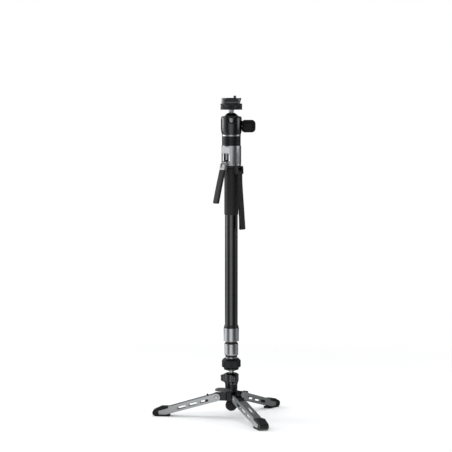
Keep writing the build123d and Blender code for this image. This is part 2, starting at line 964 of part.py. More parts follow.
def lever_cover():
    return lever_flat(cover_reach, housing_bottom + lever_slot_height, 0)


def lever_pin():
    return around(cross_pin(lever_pin_radius, lever_pin_length, lever_pin_reach, lever_height), lever_place_angle)


def lever_spring():
    spring = Rot(90, 0, 0) * coil(spring_wire / 2, lever_pin_radius + running, lever_spring_turns)
    return around(Pos(lever_pin_reach, 0, lever_height) * spring, lever_place_angle)


def strap_lug():
    """Two ears beside the strap with a bar between them, on a pad against the grip."""
    top = housing_bottom - edge
    low = top - lug_ear_height
    outer = strap_width / 2 + apart + lug_ear
    ear = [
        (grip_radius + seat, low + lug_ear),
        (lug_reach - 2 * lug_ear, low),
        (lug_reach, low + lug_ear),
        (lug_reach - edge, top - lug_ear),
        (lug_reach - lug_ear, top),
        (grip_radius + seat, top),
    ]
    body = side_plate(ear, 2 * outer)
    gap = block(grip_radius + lug_ear, lug_reach + overrun, strap_width + 2 * apart, low - overrun, top - lug_ear)
    body -= gap
    body -= disc(grip_radius + seat, low - overrun, grip_ring_bottom)
    keep = turned((0, grip_ring_bottom - overrun), (grip_radius + seat, grip_ring_bottom - overrun),
                  (grip_radius + seat, grip_ring_bottom), (grip_ring_radius + seat, grip_ring_bottom + grip_ring_skirt),
                  (grip_ring_radius + seat, housing_bottom + overrun), (0, housing_bottom + overrun))
    body -= keep
    body += cross_pin(strap_pin_radius, 2 * outer, strap_pin_reach, top - strap_pin_drop)
    return around(body, strap_place_angle)


def top_collar():
    """A ribbed collar with a spigot into the upper tube and a threaded stud for the head."""
    low = housing_top
    top = top_collar_top
    pitch = (top - low) / (top_collar_ribs + 1)
    points = [(0, low), (top_collar_radius - edge, low), (top_collar_radius, low + edge)]
    for i in range(top_collar_ribs):
        middle = low + pitch * (i + 1)
        points += [
            (top_collar_radius, middle - edge),
            (top_collar_radius - top_collar_rib_depth, middle),
            (top_collar_radius, middle + edge),
        ]
    points += [(top_collar_radius, top - edge), (top_collar_radius - edge, top), (0, top)]
    spigot = disc(tube_1_radius - tube_1_wall - seat, tube_1_top - top_spigot_length, low)
    return turned(*points) + spigot + disc(head_stud_radius, low, top + head_stud_length)


def head_base():
    body = turned(
        (0, top_collar_top),
        (head_base_radius - edge, top_collar_top),
        (head_base_radius, top_collar_top + edge),
        (head_base_radius, head_base_top),
        (head_pivot_radius, head_base_top),
        (head_pivot_radius, head_base_top + head_pivot_height),
        (0, head_base_top + head_pivot_height),
    )
    return body - disc(head_stud_radius + seat, top_collar_top - overrun, top_collar_top + head_stud_length + seat)


# Release rod and lever

def release_rod():
    top = rod_collar_bottom + rod_collar
    return (
        disc(rod_radius, tube_1_bottom + rod_tail, top + rod_head - rod_collar)
        + disc(rod_collar_radius, rod_collar_bottom, top)
    )


def lever_point(down, out):
    """Reach and height of a point given down the lever from its pin and out from it."""
    lean = math.radians(lever_angle)
    reach = lever_pin_reach + down * math.sin(lean) + out * math.cos(lean)
    return reach, lever_height - down * math.cos(lean) + out * math.sin(lean)


def trigger_lever():
    """Knuckle on the pin, heel towards the axis and a tang that the blade covers."""
    width = lever_slot_width - 2 * lever_side_gap
    length = lever_knuckle_length
    knuckle = side_plate(
        [
            lever_point(0, -lever_boss_radius),
            lever_point(length / 2, -lever_boss_radius + edge),
            lever_point(length * 3 / 4, -lever_inner_depth),
            lever_point(length, -lever_inner_depth),
            lever_point(length, lever_outer_depth),
            lever_point(length / 4, lever_outer_depth),
            lever_point(-lever_boss_radius * 3 / 4, lever_boss_radius / 2),
            lever_point(0, 0),
        ],
        width,
    )
    knuckle += cross_pin(lever_boss_radius, width, lever_pin_reach, lever_height)
    heel_low = lever_height - lever_heel_thickness / 2
    heel = block(
        lever_pin_reach - lever_heel_length, lever_pin_reach, lever_heel_width,
        heel_low, heel_low + lever_heel_thickness,
    )
    middle = (lever_outer_depth + apart) / 2
    tang = side_plate(
        [
            lever_point(0, middle - tang_thickness / 2),
            lever_point(length + tang_length, middle - tang_thickness / 2),
            lever_point(length + tang_length, middle + tang_thickness / 2),
            lever_point(0, middle + tang_thickness / 2),
        ],
        tang_width,
    )
    lever = knuckle + heel + tang
    lever -= cross_pin(lever_pin_radius + running, 2 * width, lever_pin_reach, lever_height)
    pocket = cross_pin(
        lever_pin_radius + spring_wire + 3 * running + apart,
        spring_wire * lever_spring_turns + 2 * apart, lever_pin_reach, lever_height,
    )
    dimple_floor = lever_outer_depth - lever_dimple
    dimple = side_plate(
        [
            lever_point(lever_dimple_start, dimple_floor),
            lever_point(lever_dimple_end, dimple_floor),
            lever_point(lever_dimple_end, lever_outer_depth + overrun),
            lever_point(lever_dimple_start, lever_outer_depth + overrun),
        ],
        lever_dimple_width,
    )
    return around(lever - pocket - dimple, lever_place_angle)


def lever_blade():
    """The black finger piece: a flat bar with rounded long edges, over the tang."""
    start = lever_knuckle_length
    middle = (lever_outer_depth + apart) / 2
    half = blade_thickness / 2
    outline = [
        lever_point(start, middle - half),
        lever_point(start + blade_length - blade_round, middle - half),
        lever_point(start + blade_length, middle - half + blade_round),
        lever_point(start + blade_length, middle + half - blade_round),
        lever_point(start + blade_length - blade_round, middle + half),
        lever_point(start, middle + half),
    ]
    blade = side_plate(outline, blade_width)
    corner = blade_width / 2 - blade_round
    far = blade_width
    for side in (-1, 1):
        bevel = extrude(
            Plane.XY * make_face(Polyline(
                (start + blade_length + overrun, side * corner),
                (start + blade_length + overrun, side * far),
                (start + blade_length - blade_round, side * far),
                (start + blade_length - blade_round, side * blade_width / 2),
                close=True,
            )), far, both=True)
        blade -= lever_frame() * bevel
    pocket = side_plate(
        [
            lever_point(start - overrun, middle - tang_thickness / 2 - seat),
            lever_point(start + tang_length + seat, middle - tang_thickness / 2 - seat),
            lever_point(start + tang_length + seat, middle + tang_thickness / 2 + seat),
            lever_point(start - overrun, middle + tang_thickness / 2 + seat),
        ],
        tang_width + 2 * seat,
    )
    return around(blade - pocket, lever_place_angle)


def lever_frame():
    """A frame on the lever's pin whose X runs down the lever."""
    return Pos(lever_pin_reach, 0, lever_height) * Rot(0, facing / 2 - lever_angle, 0)


# Strap

def strap():
    """A flat webbing loop round the bar of its lug, its two layers opening towards the fold."""
    pin_height = housing_bottom - edge - strap_pin_drop
    eye = strap_pin_radius + apart
    low = pin_height - strap_length
    lean = math.tan(math.radians(strap_lean)) * strap_length
    foot = strap_pin_reach + lean

    def loop(grow):
        top = Pos(strap_pin_reach, pin_height) * Circle(eye + grow)
        end = Pos(foot, low + strap_end_radius) * Circle(strap_end_radius - strap_thickness + grow)
        sides = Polyline(
            (strap_pin_reach - eye - grow, pin_height),
            (strap_pin_reach + eye + grow, pin_height),
            (foot + strap_end_radius - strap_thickness + grow, low + strap_end_radius),
            (foot - strap_end_radius + strap_thickness - grow, low + strap_end_radius),
            close=True,
        )
        return top + end + make_face(sides)

    web = Plane.XZ * (loop(strap_thickness) - loop(0))
    return around(extrude(web, strap_width / 2, both=True), strap_place_angle)


# Ball head

def head_housing():
    """A turned body round the ball, with a front notch that lets the stem drop level."""
    low = head_bottom
    top = head_top
    body = turned(
        (0, low),
        (head_foot_radius, low),
        (head_radius - edge, low + head_foot_height),
        (head_radius, low + 2 * head_foot_height),
        (head_radius, ball_height),
        (head_radius - edge / 2, top - head_shoulder_drop),
        (head_radius - head_shoulder / 3, top - head_shoulder_drop / 3),
        (head_radius - head_shoulder, top),
        (0, top),
    )
    ball_room = ball_at(ball_radius + running, ball_height)
    cup_room_radius = ball_radius + running + ball_cup_wall + apart
    cup_room = ball_at(cup_room_radius, ball_height)
    cup_room -= disc(2 * cup_room_radius, ball_height + ball_cup_room, ball_height + 2 * cup_room_radius)
    body -= ball_room + cup_room
    rim = math.sqrt((ball_radius + running) ** 2 - ball_drop ** 2)
    body -= turned((0, top - edge), (rim, top - edge), (rim + 2 * edge, top + edge), (0, top + edge))
    body -= disc(head_pivot_radius + running, low - overrun, head_base_top + head_pivot_height + apart)
    notch = Pos(0, 0, ball_height) * Rot(90, 0, 0) * Cylinder(
        notch_radius, head_radius + overrun, align=MIN_Z)
    notch += Pos(0, -(head_radius + overrun) / 2, ball_height + head_height / 2) * Box(
        2 * notch_radius, head_radius + overrun, head_height)
    flare = [
        (-notch_radius, top - notch_flare_height),
        (notch_radius, top - notch_flare_height),
        (notch_radius + notch_flare, top + overrun),
        (-notch_radius - notch_flare, top + overrun),
    ]
    notch += Pos(0, -(head_radius + overrun) / 2, 0) * side_plate(flare, head_radius + overrun)
    body -= notch
    return body - knob_axis(knob_shaft_radius + running, 0, head_radius + overrun)


def knob_axis(radius, x_low, x_high):
    """A cylinder along +X on the knob's axis."""
    return Pos(x_low, 0, knob_height) * Rot(0, 90, 0) * Cylinder(radius, x_high - x_low, align=MIN_Z)


def knob_shaft():
    cup_reach = ball_radius + running + ball_cup_wall
    start = math.sqrt(cup_reach ** 2 - (knob_drop - knob_shaft_radius) ** 2) + apart
    return knob_axis(knob_shaft_radius, start, head_radius + apart + knob_shaft_hold)


def head_knob():
    """A fluted knob with a tapered neck and a rounded outer end, turned about Z and then laid along +X."""
    neck = knob_neck
    end = neck + knob_length
    rounded = [
        (knob_radius - knob_round * (1 - math.cos(math.radians(turn))),
         end - knob_round + knob_round * math.sin(math.radians(turn)))
        for turn in (0, 15, 30, 45, 60, 75, 90)
    ]
    body = turned((0, 0), (knob_neck_radius, 0), (knob_radius, neck), *rounded, (0, end))
    flute = Pos(knob_radius + knob_flute_radius - knob_flute_depth, 0) * disc(knob_flute_radius, neck + edge, end + overrun)
    for i in range(knob_flutes):
        body -= around(flute, 2 * facing * i / knob_flutes - facing / 2)
    body -= disc(knob_shaft_radius + seat, -overrun, knob_shaft_hold + seat)
    return Pos(head_radius + apart, 0, knob_height) * Rot(0, 90, 0) * body


def ball_cup():
    """The spherical seat under the ball, open at its foot."""
    inner = ball_radius + running
    outer = inner + ball_cup_wall
    rim = outer * math.sin(math.radians(ball_cup_rim))
    shell = ball_at(outer, ball_height) - ball_at(inner, ball_height)
    shell -= disc(2 * outer, ball_height - rim, ball_height + 2 * outer)
    return shell - disc(ball_cup_hole, ball_height - 2 * outer, ball_height)


def head_ball():
    bore_bottom = stem_bottom - stem_pin_depth - apart
    return ball_at(ball_radius, ball_height) - disc(stem_pin_radius + running, bore_bottom, stem_bottom)


def ball_stem():
    return (
        disc(stem_pin_radius, stem_bottom - stem_pin_depth, stem_bottom)
        + disc(stem_radius, stem_bottom, clamp_ring_bottom)
        + disc(stem_top_radius, clamp_ring_bottom, clamp_ring_bottom + stem_top_length)
    )


# Clamp and camera plate

def clamp_plan(x_low, x_high, bottom, top):
    slab = block(x_low, x_high, 2 * clamp_half_length, bottom, top)
    return slab & disc(clamp_plan_radius, bottom - overrun, top + overrun)


def dovetail(grow, length):
    """The plate's foot and neck, grown by a fit, as a bar along Y."""
    flange = plate_flange_half + grow
    neck = plate_neck_half + grow
    low = plate_bottom - grow
    step = plate_bottom + plate_flange + grow
    points = [
        (-flange, low),
        (flange, low),
        (flange, step),
        (neck, step + plate_slope),
        (neck, plate_top),
        (-neck, plate_top),
        (-neck, step + plate_slope),
        (-flange, step),
    ]
    return side_plate(points, length)


def clamp_body():
    """A hub inside the ring, a floor and the fixed jaw."""
    half = clamp_half_width
    body = disc(clamp_hub_radius, clamp_ring_bottom + apart, clamp_bottom)
    body += clamp_plan(-half, half - jaw_undercut, clamp_bottom, clamp_floor_top)
    body += clamp_plan(-half, -plate_neck_half, clamp_bottom, clamp_top)
    body -= disc(stem_top_radius + seat, clamp_ring_bottom, clamp_ring_bottom + stem_top_length + seat)
    body -= dovetail(plate_fit, 4 * clamp_half_length)
    tenon = block(0, half + overrun, jaw_tenon_width + 2 * running, clamp_floor_top - jaw_tenon_height, clamp_top)
    tenon -= block(0, half - jaw_tenon_length - jaw_open, 2 * clamp_half_length, clamp_bottom, clamp_top)
    return body - tenon


def clamp_jaw():
    """The sliding jaw: an undercut outer face, the dovetail inside and a tenon below."""
    half = clamp_half_width
    low = clamp_floor_top + apart
    points = [
        (plate_neck_half, low),
        (half - jaw_undercut, low),
        (half, low + jaw_undercut_height),
        (half, clamp_top),
        (plate_neck_half, clamp_top),
    ]
    jaw = side_plate(points, 2 * clamp_half_length) & disc(clamp_plan_radius, low - overrun, clamp_top + overrun)
    jaw += block(
        half - jaw_tenon_length, half - jaw_undercut, jaw_tenon_width,
        clamp_floor_top - jaw_tenon_height + apart, low + overrun,
    )
    return jaw - dovetail(plate_fit, 4 * clamp_half_length)


def clamp_ring():
    low = clamp_ring_bottom
    top = low + clamp_ring_height
    core = clamp_ring_radius - clamp_ring_tooth
    body = turned(
        (clamp_hub_radius + running, low),
        (core - 2 * edge, low),
        (core, low + 2 * edge),
        (core, top - edge),
        (core - edge, top),
        (clamp_hub_radius + running, top),
    )
    band_low = low + clamp_ring_band
    return body + (
        toothed(clamp_ring_radius, clamp_ring_tooth, clamp_ring_teeth, band_low, top - clamp_ring_band)
        - disc(clamp_ring_radius / 2, low - overrun, top + overrun)
    )


def camera_plate():
    plate = dovetail(0, 2 * plate_half_length)
    head_low = plate_bottom + screw_gap
    head_room = head_low + screw_head + screw_gap
    plate -= slot_shape(screw_slot_half, screw_head_radius + screw_gap, plate_bottom - overrun, head_room)
    return plate - slot_shape(screw_slot_half, screw_radius + screw_gap, plate_bottom, plate_top + overrun)


def camera_pad():
    half = plate_neck_half - plate_pad_margin
    pad = block(-half, half, 2 * (plate_half_length - plate_pad_margin), plate_top, pad_top)
    return pad - slot_shape(screw_slot_half, screw_radius + screw_gap, plate_top - overrun, pad_top + overrun)


def camera_screw():
    head_low = plate_bottom + screw_gap
    screw = disc(screw_head_radius, head_low, head_low + screw_head)
    screw += disc(screw_neck_radius, head_low, pad_top)
    screw += turned((0, pad_top), (screw_radius, pad_top), (screw_radius, screw_top - edge),
                    (screw_radius - edge, screw_top), (0, screw_top))
    return Pos(screw_offset, 0, 0) * screw


def write(name, solids):
    """One file for a node; several solids are written as one group."""
    shape = Compound(children=list(solids)) if isinstance(solids, list) else solids
    export_step(shape, os.path.join("parts", name + ".step"))


leg_names = ("left", "front", "rear")

pieces = {
    "base_hub": base_hub,
    "ball_foot": ball_foot,
    "leg_pins": leg_pins,
    "pedal_pin": pedal_pin,
    "pedal_spring": pedal_spring,
    "pedal": pedal,
    "brake_plunger": brake_plunger,
    "tilt_lock_ring": tilt_lock_ring,
    "ball_seat": ball_seat,
    "tilt_ball": tilt_ball,
    "pan_nut": pan_nut,
    "pan_coupling": pan_coupling,
    "pan_skirt": pan_skirt_ring,
    "pan_cap": pan_cap_ring,
    "tube_3": tube_3,
    "tube_3_guide": tube_3_guide,
    "tube_2": tube_2,
    "collar_2": collar_2,
    "collar_2_cap": collar_2_cap_ring,
    "collar_2_bush": collar_2_bush,
    "tube_2_guide": tube_2_guide,
    "tube_1": tube_1,
    "collar_1": collar_1,
    "collar_1_cap": collar_1_cap_ring,
    "collar_1_bush": collar_1_bush,
    "grip": grip,
    "grip_ring": grip_ring,
    "lever_housing": lever_housing,
    "lever_cover": lever_cover,
    "lever_pin": lever_pin,
    "lever_spring": lever_spring,
    "strap_lug": strap_lug,
    "top_collar": top_collar,
    "head_base": head_base,
    "release_rod": release_rod,
    "trigger_lever": trigger_lever,
    "lever_blade": lever_blade,
    "strap": strap,
    "head_housing": head_housing,
    "knob_shaft": knob_shaft,
    "head_knob": head_knob,
    "ball_cup": ball_cup,
    "head_ball": head_ball,
    "ball_stem": ball_stem,
    "clamp_body": clamp_body,
    "clamp_ring": clamp_ring,
    "clamp_jaw": clamp_jaw,
    "camera_plate": camera_plate,
    "plate_pad": camera_pad,
    "camera_screw": camera_screw,
}

os.makedirs("parts", exist_ok=True)
for name, maker in pieces.items():
    write(name, maker())
channel, latch, shoe = leg_channel(), leg_latch(), leg_shoe()
for name, angle in zip(leg_names, leg_angles()):
    write("leg_" + name, around(channel, angle))
    write("latch_" + name, around(latch, angle))
    write("shoe_" + name, around(shoe, angle))
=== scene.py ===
from math import acos, cos, pi, radians, sin, tan
import bmesh
import bpy
import numpy as np
from mathutils import Matrix, Vector


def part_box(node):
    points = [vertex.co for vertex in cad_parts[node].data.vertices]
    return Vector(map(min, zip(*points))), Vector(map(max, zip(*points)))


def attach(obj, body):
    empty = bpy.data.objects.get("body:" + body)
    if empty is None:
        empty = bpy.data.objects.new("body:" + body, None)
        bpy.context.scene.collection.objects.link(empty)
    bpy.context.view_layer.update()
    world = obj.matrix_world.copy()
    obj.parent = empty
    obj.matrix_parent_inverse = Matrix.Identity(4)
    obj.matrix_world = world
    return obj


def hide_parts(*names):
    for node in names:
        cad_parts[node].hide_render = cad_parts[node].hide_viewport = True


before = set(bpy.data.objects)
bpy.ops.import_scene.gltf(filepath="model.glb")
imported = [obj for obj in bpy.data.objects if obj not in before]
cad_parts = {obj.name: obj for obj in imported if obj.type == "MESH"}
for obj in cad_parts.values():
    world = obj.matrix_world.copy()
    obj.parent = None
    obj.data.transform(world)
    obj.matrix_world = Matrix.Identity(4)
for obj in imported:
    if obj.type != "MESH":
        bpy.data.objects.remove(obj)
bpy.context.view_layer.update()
mm = 0.001
print("frame loaded:", len(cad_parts), "nodes")

# node trees


def feed(tree, node, inputs):
    # plain values go into a node's sockets, and the sockets of other nodes are linked to them
    for key, value in inputs.items():
        if isinstance(value, bpy.types.NodeSocket):
            tree.links.new(value, node.inputs[key])
        else:
            node.inputs[key].default_value = value


def addNode(tree, kind, inputs=None, **settings):
    node = tree.nodes.new(kind)
    for key, value in settings.items():
        setattr(node, key, value)
    feed(tree, node, inputs or {})
    return node


def newGroup(name, inputs, outputs):
    # a node group with named sockets, and the outputs of its input node
    group = bpy.data.node_groups.new(name, "ShaderNodeTree")
    for way, sockets in (("INPUT", inputs), ("OUTPUT", outputs)):
        for label, kind in sockets.items():
            group.interface.new_socket(label, in_out=way, socket_type="NodeSocket" + kind)
    return group, addNode(group, "NodeGroupInput").outputs


def mathNode(tree, operation, *values):
    return addNode(tree, "ShaderNodeMath", dict(enumerate(values)), operation=operation).outputs[0]


def noiseOf(tree, vector, scale, detail, **others):
    inputs = {"Vector": vector, "Scale": scale, "Detail": detail, **others}
    return addNode(tree, "ShaderNodeTexNoise", inputs).outputs["Fac"]


def stretchedBy(tree, vector, factors):
    inputs = {0: vector, 1: factors}
    return addNode(tree, "ShaderNodeVectorMath", inputs, operation="MULTIPLY").outputs[0]


def splitOf(tree, vector):
    return addNode(tree, "ShaderNodeSeparateXYZ", {"Vector": vector}).outputs


def mapRange(tree, value, low, high, start=0.0, end=1.0, kind="LINEAR"):
    # low to high becomes start to end, and what lies outside is clamped
    inputs = {"Value": value, "From Min": low, "From Max": high, "To Min": start, "To Max": end}
    return addNode(tree, "ShaderNodeMapRange", inputs, interpolation_type=kind).outputs[0]


def mixColours(tree, share, first, second):
    inputs = {"Factor": share, 6: first, 7: second}
    return addNode(tree, "ShaderNodeMix", inputs, data_type="RGBA").outputs[2]


def mixShaders(tree, share, first, second):
    return addNode(tree, "ShaderNodeMixShader", {0: share, 1: first, 2: second}).outputs[0]


grain = dict(detail=5.0, roughness=0.6, depth=0.0003)
drift = dict(scale=34.0, amount=0.75, slowDetail=3.0, fineScale=14.0, fineDetail=2.0,
             fineShare=0.35)
rubMarks = dict(scale=520.0, along=0.12, detail=6.0, distortion=0.4, lines=(0.62, 0.74),
                patchScale=0.12, patchDetail=2.0, patches=(0.5, 0.68),
                bare=(0.55, 0.55, 0.56, 1.0))
dustVeil = dict(color=(0.42, 0.41, 0.39, 1.0), scale=160.0, detail=5.0, upward=(0.3, 1.0))
# dark and light are painted shade and painted light of the weave: dark in the valleys between the
# yarns, light on their crests
webbing = dict(pitch=1.5, slant=0.5, lowest=-0.4, bump=0.6, depth=0.0004, roughness=0.75,
               specular=0.25, sheen=0.06, dark=(0.003, 0.003, 0.0033, 1.0),
               light=(0.0105, 0.0105, 0.011, 1.0))


def makeGrainGroup():
    # noise on stretched coordinates moves the roughness and gives a height
    group, given = newGroup(
        "surfaceGrain",
        dict(Vector="Vector", Stretch="Vector", Scale="Float", Roughness="Float", Spread="Float"),
        dict(Roughness="Float", Height="Float"))
    place = stretchedBy(group, given["Vector"], given["Stretch"])
    noise = noiseOf(group, place, given["Scale"], grain["detail"], Roughness=grain["roughness"])
    moved = mathNode(group, "MULTIPLY", mathNode(group, "SUBTRACT", noise, 0.5), given["Spread"])
    roughness = mathNode(group, "ADD", moved, given["Roughness"])
    addNode(group, "NodeGroupOutput", {"Roughness": roughness, "Height": noise})
    return group


def makeDriftGroup():
    # a slow noise blends the colour towards a tint, and a fine one speckles it
    group, given = newGroup(
        "colourDrift",
        dict(Color="Color", Tint="Color", Vector="Vector", Scale="Float", Amount="Float"),
        dict(Color="Color"))
    slow = noiseOf(group, given["Vector"], given["Scale"], drift["slowDetail"])
    fineScale = mathNode(group, "MULTIPLY", given["Scale"], drift["fineScale"])
    fine = noiseOf(group, given["Vector"], fineScale, drift["fineDetail"])
    both = mathNode(group, "MULTIPLY_ADD", fine, drift["fineShare"], slow)
    share = mathNode(group, "MULTIPLY", both, given["Amount"])
    mixed = mixColours(group, share, given["Color"], given["Tint"])
    addNode(group, "NodeGroupOutput", {"Color": mixed})
    return group


def makeScratchGroup():
    # long thin noise above a threshold is a mask of fine rub marks
    group, given = newGroup("rubMarks", dict(Vector="Vector", Scale="Float", Amount="Float"),
                            dict(Mask="Float"))
    place = stretchedBy(group, given["Vector"], (1.0, 1.0, rubMarks["along"]))
    lines = noiseOf(group, place, given["Scale"], rubMarks["detail"],
                    Distortion=rubMarks["distortion"])
    patchScale = mathNode(group, "MULTIPLY", given["Scale"], rubMarks["patchScale"])
    patches = noiseOf(group, given["Vector"], patchScale, rubMarks["patchDetail"])
    thin = mapRange(group, lines, *rubMarks["lines"])
    both = mathNode(group, "MULTIPLY", thin, mapRange(group, patches, *rubMarks["patches"]))
    mask = mathNode(group, "MULTIPLY", both, given["Amount"])
    addNode(group, "NodeGroupOutput", {"Mask": mask})
    return group


def makeDustGroup():
    # faces that look up catch a thin veil of dust
    group, given = newGroup(
        "dustVeil", dict(Color="Color", Vector="Vector", Normal="Vector", Amount="Float"),
        dict(Color="Color"))
    upward = mapRange(group, splitOf(group, given["Normal"])["Z"], *dustVeil["upward"])
    noise = noiseOf(group, given["Vector"], dustVeil["scale"], dustVeil["detail"])
    share = mathNode(group, "MULTIPLY", mathNode(group, "MULTIPLY", upward, noise), given["Amount"])
    mixed = mixColours(group, share, given["Color"], dustVeil["color"])
    addNode(group, "NodeGroupOutput", {"Color": mixed})
    return group


def makeWeaveGroup():
    # two crossed sine waves are the raised yarns of a flat webbing, in millimetres of its own map
    group, given = newGroup("webbingWeave", dict(Vector="Vector", Pitch="Float"),
                            dict(Height="Float", Mask="Float"))
    place = splitOf(group, given["Vector"])
    turn = mathNode(group, "DIVIDE", 2 * pi, given["Pitch"])
    across = mathNode(group, "MULTIPLY", place["X"], turn)
    along = mathNode(group, "MULTIPLY", place["Y"], turn)
    slantAlong = mathNode(group, "MULTIPLY", along, webbing["slant"])
    slantAcross = mathNode(group, "MULTIPLY", across, webbing["slant"])
    first = mathNode(group, "SINE", mathNode(group, "ADD", across, slantAlong))
    second = mathNode(group, "SINE", mathNode(group, "SUBTRACT", along, slantAcross))
    height = mathNode(group, "MAXIMUM", first, second)
    # painted shade: the mask is low in the valleys between the yarns and high on their crests
    mask = mapRange(group, height, webbing["lowest"], 1.0)
    addNode(group, "NodeGroupOutput", {"Height": height, "Mask": mask})
    return group


grainGroup = makeGrainGroup()
driftGroup = makeDriftGroup()
scratchGroup = makeScratchGroup()
dustGroup = makeDustGroup()
weaveGroup = makeWeaveGroup()

# colours are linear; stretch is how fast the grain changes along X, Y and Z; scale is in waves a
# metre; what a finish doesn't name comes from the usual values
usual = dict(metallic=1.0, specular=0.5, stretch=(1, 1, 1), spread=0.08, bump=0.05, dust=0.03,
             rub=0.03)
blackMetal = dict(slot="black_metal", scale=1300)
plastic = dict(slot="black_plastic", scale=1900, metallic=0.0)
finishes = {
    "satinSilver": dict(
        slot="silver", color=(0.6, 0.615, 0.62), tint=(0.52, 0.535, 0.545), roughness=0.25,
        spread=0.06, scale=260, stretch=(0.12, 0.12, 7.0), bump=0.012, dust=0.01, rub=0.02),
    "housingSilver": dict(
        slot="silver", color=(0.52, 0.535, 0.54), tint=(0.45, 0.465, 0.475), roughness=0.31,
        scale=420, stretch=(0.3, 0.3, 3.0), bump=0.015, dust=0.01),
    "legSilver": dict(
        slot="leg_silver", color=(0.52, 0.54, 0.55), tint=(0.45, 0.47, 0.48), roughness=0.38,
        spread=0.1, scale=900, rub=0.1),
    "leverSilver": dict(
        slot="silver", color=(0.39, 0.4, 0.405), tint=(0.33, 0.34, 0.345), roughness=0.44,
        scale=600, dust=0.02, rub=0.05),
    "tubeGrey": dict(
        slot="tube_grey", color=(0.125, 0.125, 0.127), tint=(0.1, 0.1, 0.102), roughness=0.2,
        spread=0.05, scale=700, stretch=(1, 1, 0.05), bump=0.004, dust=0.01, rub=0.02),
    "ringGrey": dict(
        slot="ring_grey", color=(0.105, 0.106, 0.108), tint=(0.08, 0.081, 0.082), roughness=0.16,
        spread=0.06, scale=1100, bump=0.04, rub=0.04),
    "pedalGrey": dict(
        slot="pedal_grey", color=(0.085, 0.086, 0.088), tint=(0.065, 0.066, 0.068), metallic=0.0,
        roughness=0.42, spread=0.12, scale=1000, bump=0.06, dust=0.05, rub=0.08),
    "stemSteel": dict(
        slot="steel", color=(0.56, 0.56, 0.565), tint=(0.5, 0.5, 0.505), metallic=0.35,
        roughness=0.38, scale=420, stretch=(0.2, 0.2, 5.0), bump=0.03, dust=0.0, rub=0.05),
    "polishedSteel": dict(
        slot="steel", color=(0.6, 0.6, 0.61), tint=(0.5, 0.5, 0.51), roughness=0.18, scale=420,
        stretch=(0.2, 0.2, 5.0), bump=0.03, dust=0.0, rub=0.05),
    "satinBlack": dict(
        blackMetal, color=(0.095, 0.097, 0.1), tint=(0.07, 0.072, 0.074), roughness=0.24,
        bump=0.04),
    "knurledBlack": dict(
        blackMetal, color=(0.052, 0.053, 0.055), tint=(0.04, 0.041, 0.042), roughness=0.38,
        spread=0.1),
    "hubBlack": dict(
        blackMetal, color=(0.046, 0.047, 0.049), tint=(0.034, 0.035, 0.036), roughness=0.26,
        bump=0.04, dust=0.02),
    "plateBlack": dict(
        blackMetal, color=(0.038, 0.039, 0.041), tint=(0.028, 0.029, 0.03), roughness=0.3,
        spread=0.1, rub=0.04),
    "blackPolish": dict(
        slot="ball_black", color=(0.26, 0.26, 0.265), tint=(0.22, 0.22, 0.225), roughness=0.1,
        spread=0.03, scale=500, bump=0.0, dust=0.01),
    "blackPlastic": dict(
        plastic, color=(0.0055, 0.0055, 0.006), tint=(0.0095, 0.0095, 0.01), roughness=0.34,
        spread=0.12, bump=0.08, rub=0.02),
    "leverBlack": dict(
        plastic, color=(0.0085, 0.0085, 0.009), tint=(0.012, 0.012, 0.0125), roughness=0.46,
        spread=0.12, bump=0.08, dust=0.02, rub=0.02, specular=0.22),
    "knobRubber": dict(
        plastic, color=(0.0035, 0.0035, 0.004), tint=(0.007, 0.007, 0.0075), roughness=0.3,
        spread=0.1, bump=0.06, dust=0.01, rub=0.01, specular=0.16),
    "nylon": dict(
        slot="nylon", color=(0.6, 0.6, 0.57), tint=(0.54, 0.54, 0.51), metallic=0.0,
        roughness=0.45, spread=0.1, scale=900, bump=0.03, dust=0.0, rub=0.0),
    "gripFoam": dict(
        slot="grip_rubber", color=(0.006, 0.006, 0.0064), tint=(0.011, 0.011, 0.0115),
        metallic=0.0, roughness=0.6, spread=0.16, scale=2600, bump=0.2, rub=0.0),
    "shoeRubber": dict(
        slot="shoe_rubber", color=(0.005, 0.005, 0.0053), tint=(0.01, 0.01, 0.01), metallic=0.0,
        roughness=0.5, spread=0.15, scale=1700, bump=0.14, rub=0.0, specular=0.28),
}


def newMaterial(name):
    material = bpy.data.materials.new(name)
    material.use_nodes = True
    return material, material.node_tree, material.node_tree.nodes["Principled BSDF"]


def placeGroup(tree, group, inputs):
    return addNode(tree, "ShaderNodeGroup", inputs, node_tree=group).outputs


def addBump(tree, strength, depth, height):
    inputs = {"Strength": strength, "Distance": depth, "Height": height}
    return addNode(tree, "ShaderNodeBump", inputs).outputs["Normal"]


def makeFinish(name, recipe):
    # drifting colour, then rub marks and dust over it; the grain moves the roughness and the bump
    recipe = {**usual, **recipe}
    material, tree, shader = newMaterial(name)
    place = addNode(tree, "ShaderNodeTexCoord").outputs
    spot = place["Object"]
    base = placeGroup(tree, driftGroup, {
        "Color": (*recipe["color"], 1.0), "Tint": (*recipe["tint"], 1.0), "Vector": spot,
        "Scale": drift["scale"], "Amount": drift["amount"]})["Color"]
    marks = placeGroup(tree, scratchGroup, {
        "Vector": spot, "Scale": rubMarks["scale"], "Amount": recipe["rub"]})["Mask"]
    rubbed = mixColours(tree, marks, base, rubMarks["bare"])
    dusty = placeGroup(tree, dustGroup, {
        "Color": rubbed, "Vector": spot, "Normal": place["Normal"],
        "Amount": recipe["dust"]})["Color"]
    surface = placeGroup(tree, grainGroup, {
        "Vector": spot, "Stretch": recipe["stretch"], "Scale": recipe["scale"],
        "Roughness": recipe["roughness"], "Spread": recipe["spread"]})
    normal = addBump(tree, recipe["bump"], grain["depth"], surface["Height"])
    feed(tree, shader, {
        "Base Color": dusty, "Roughness": surface["Roughness"], "Normal": normal,
        "Metallic": recipe["metallic"], "Specular IOR Level": recipe["specular"]})
    return material


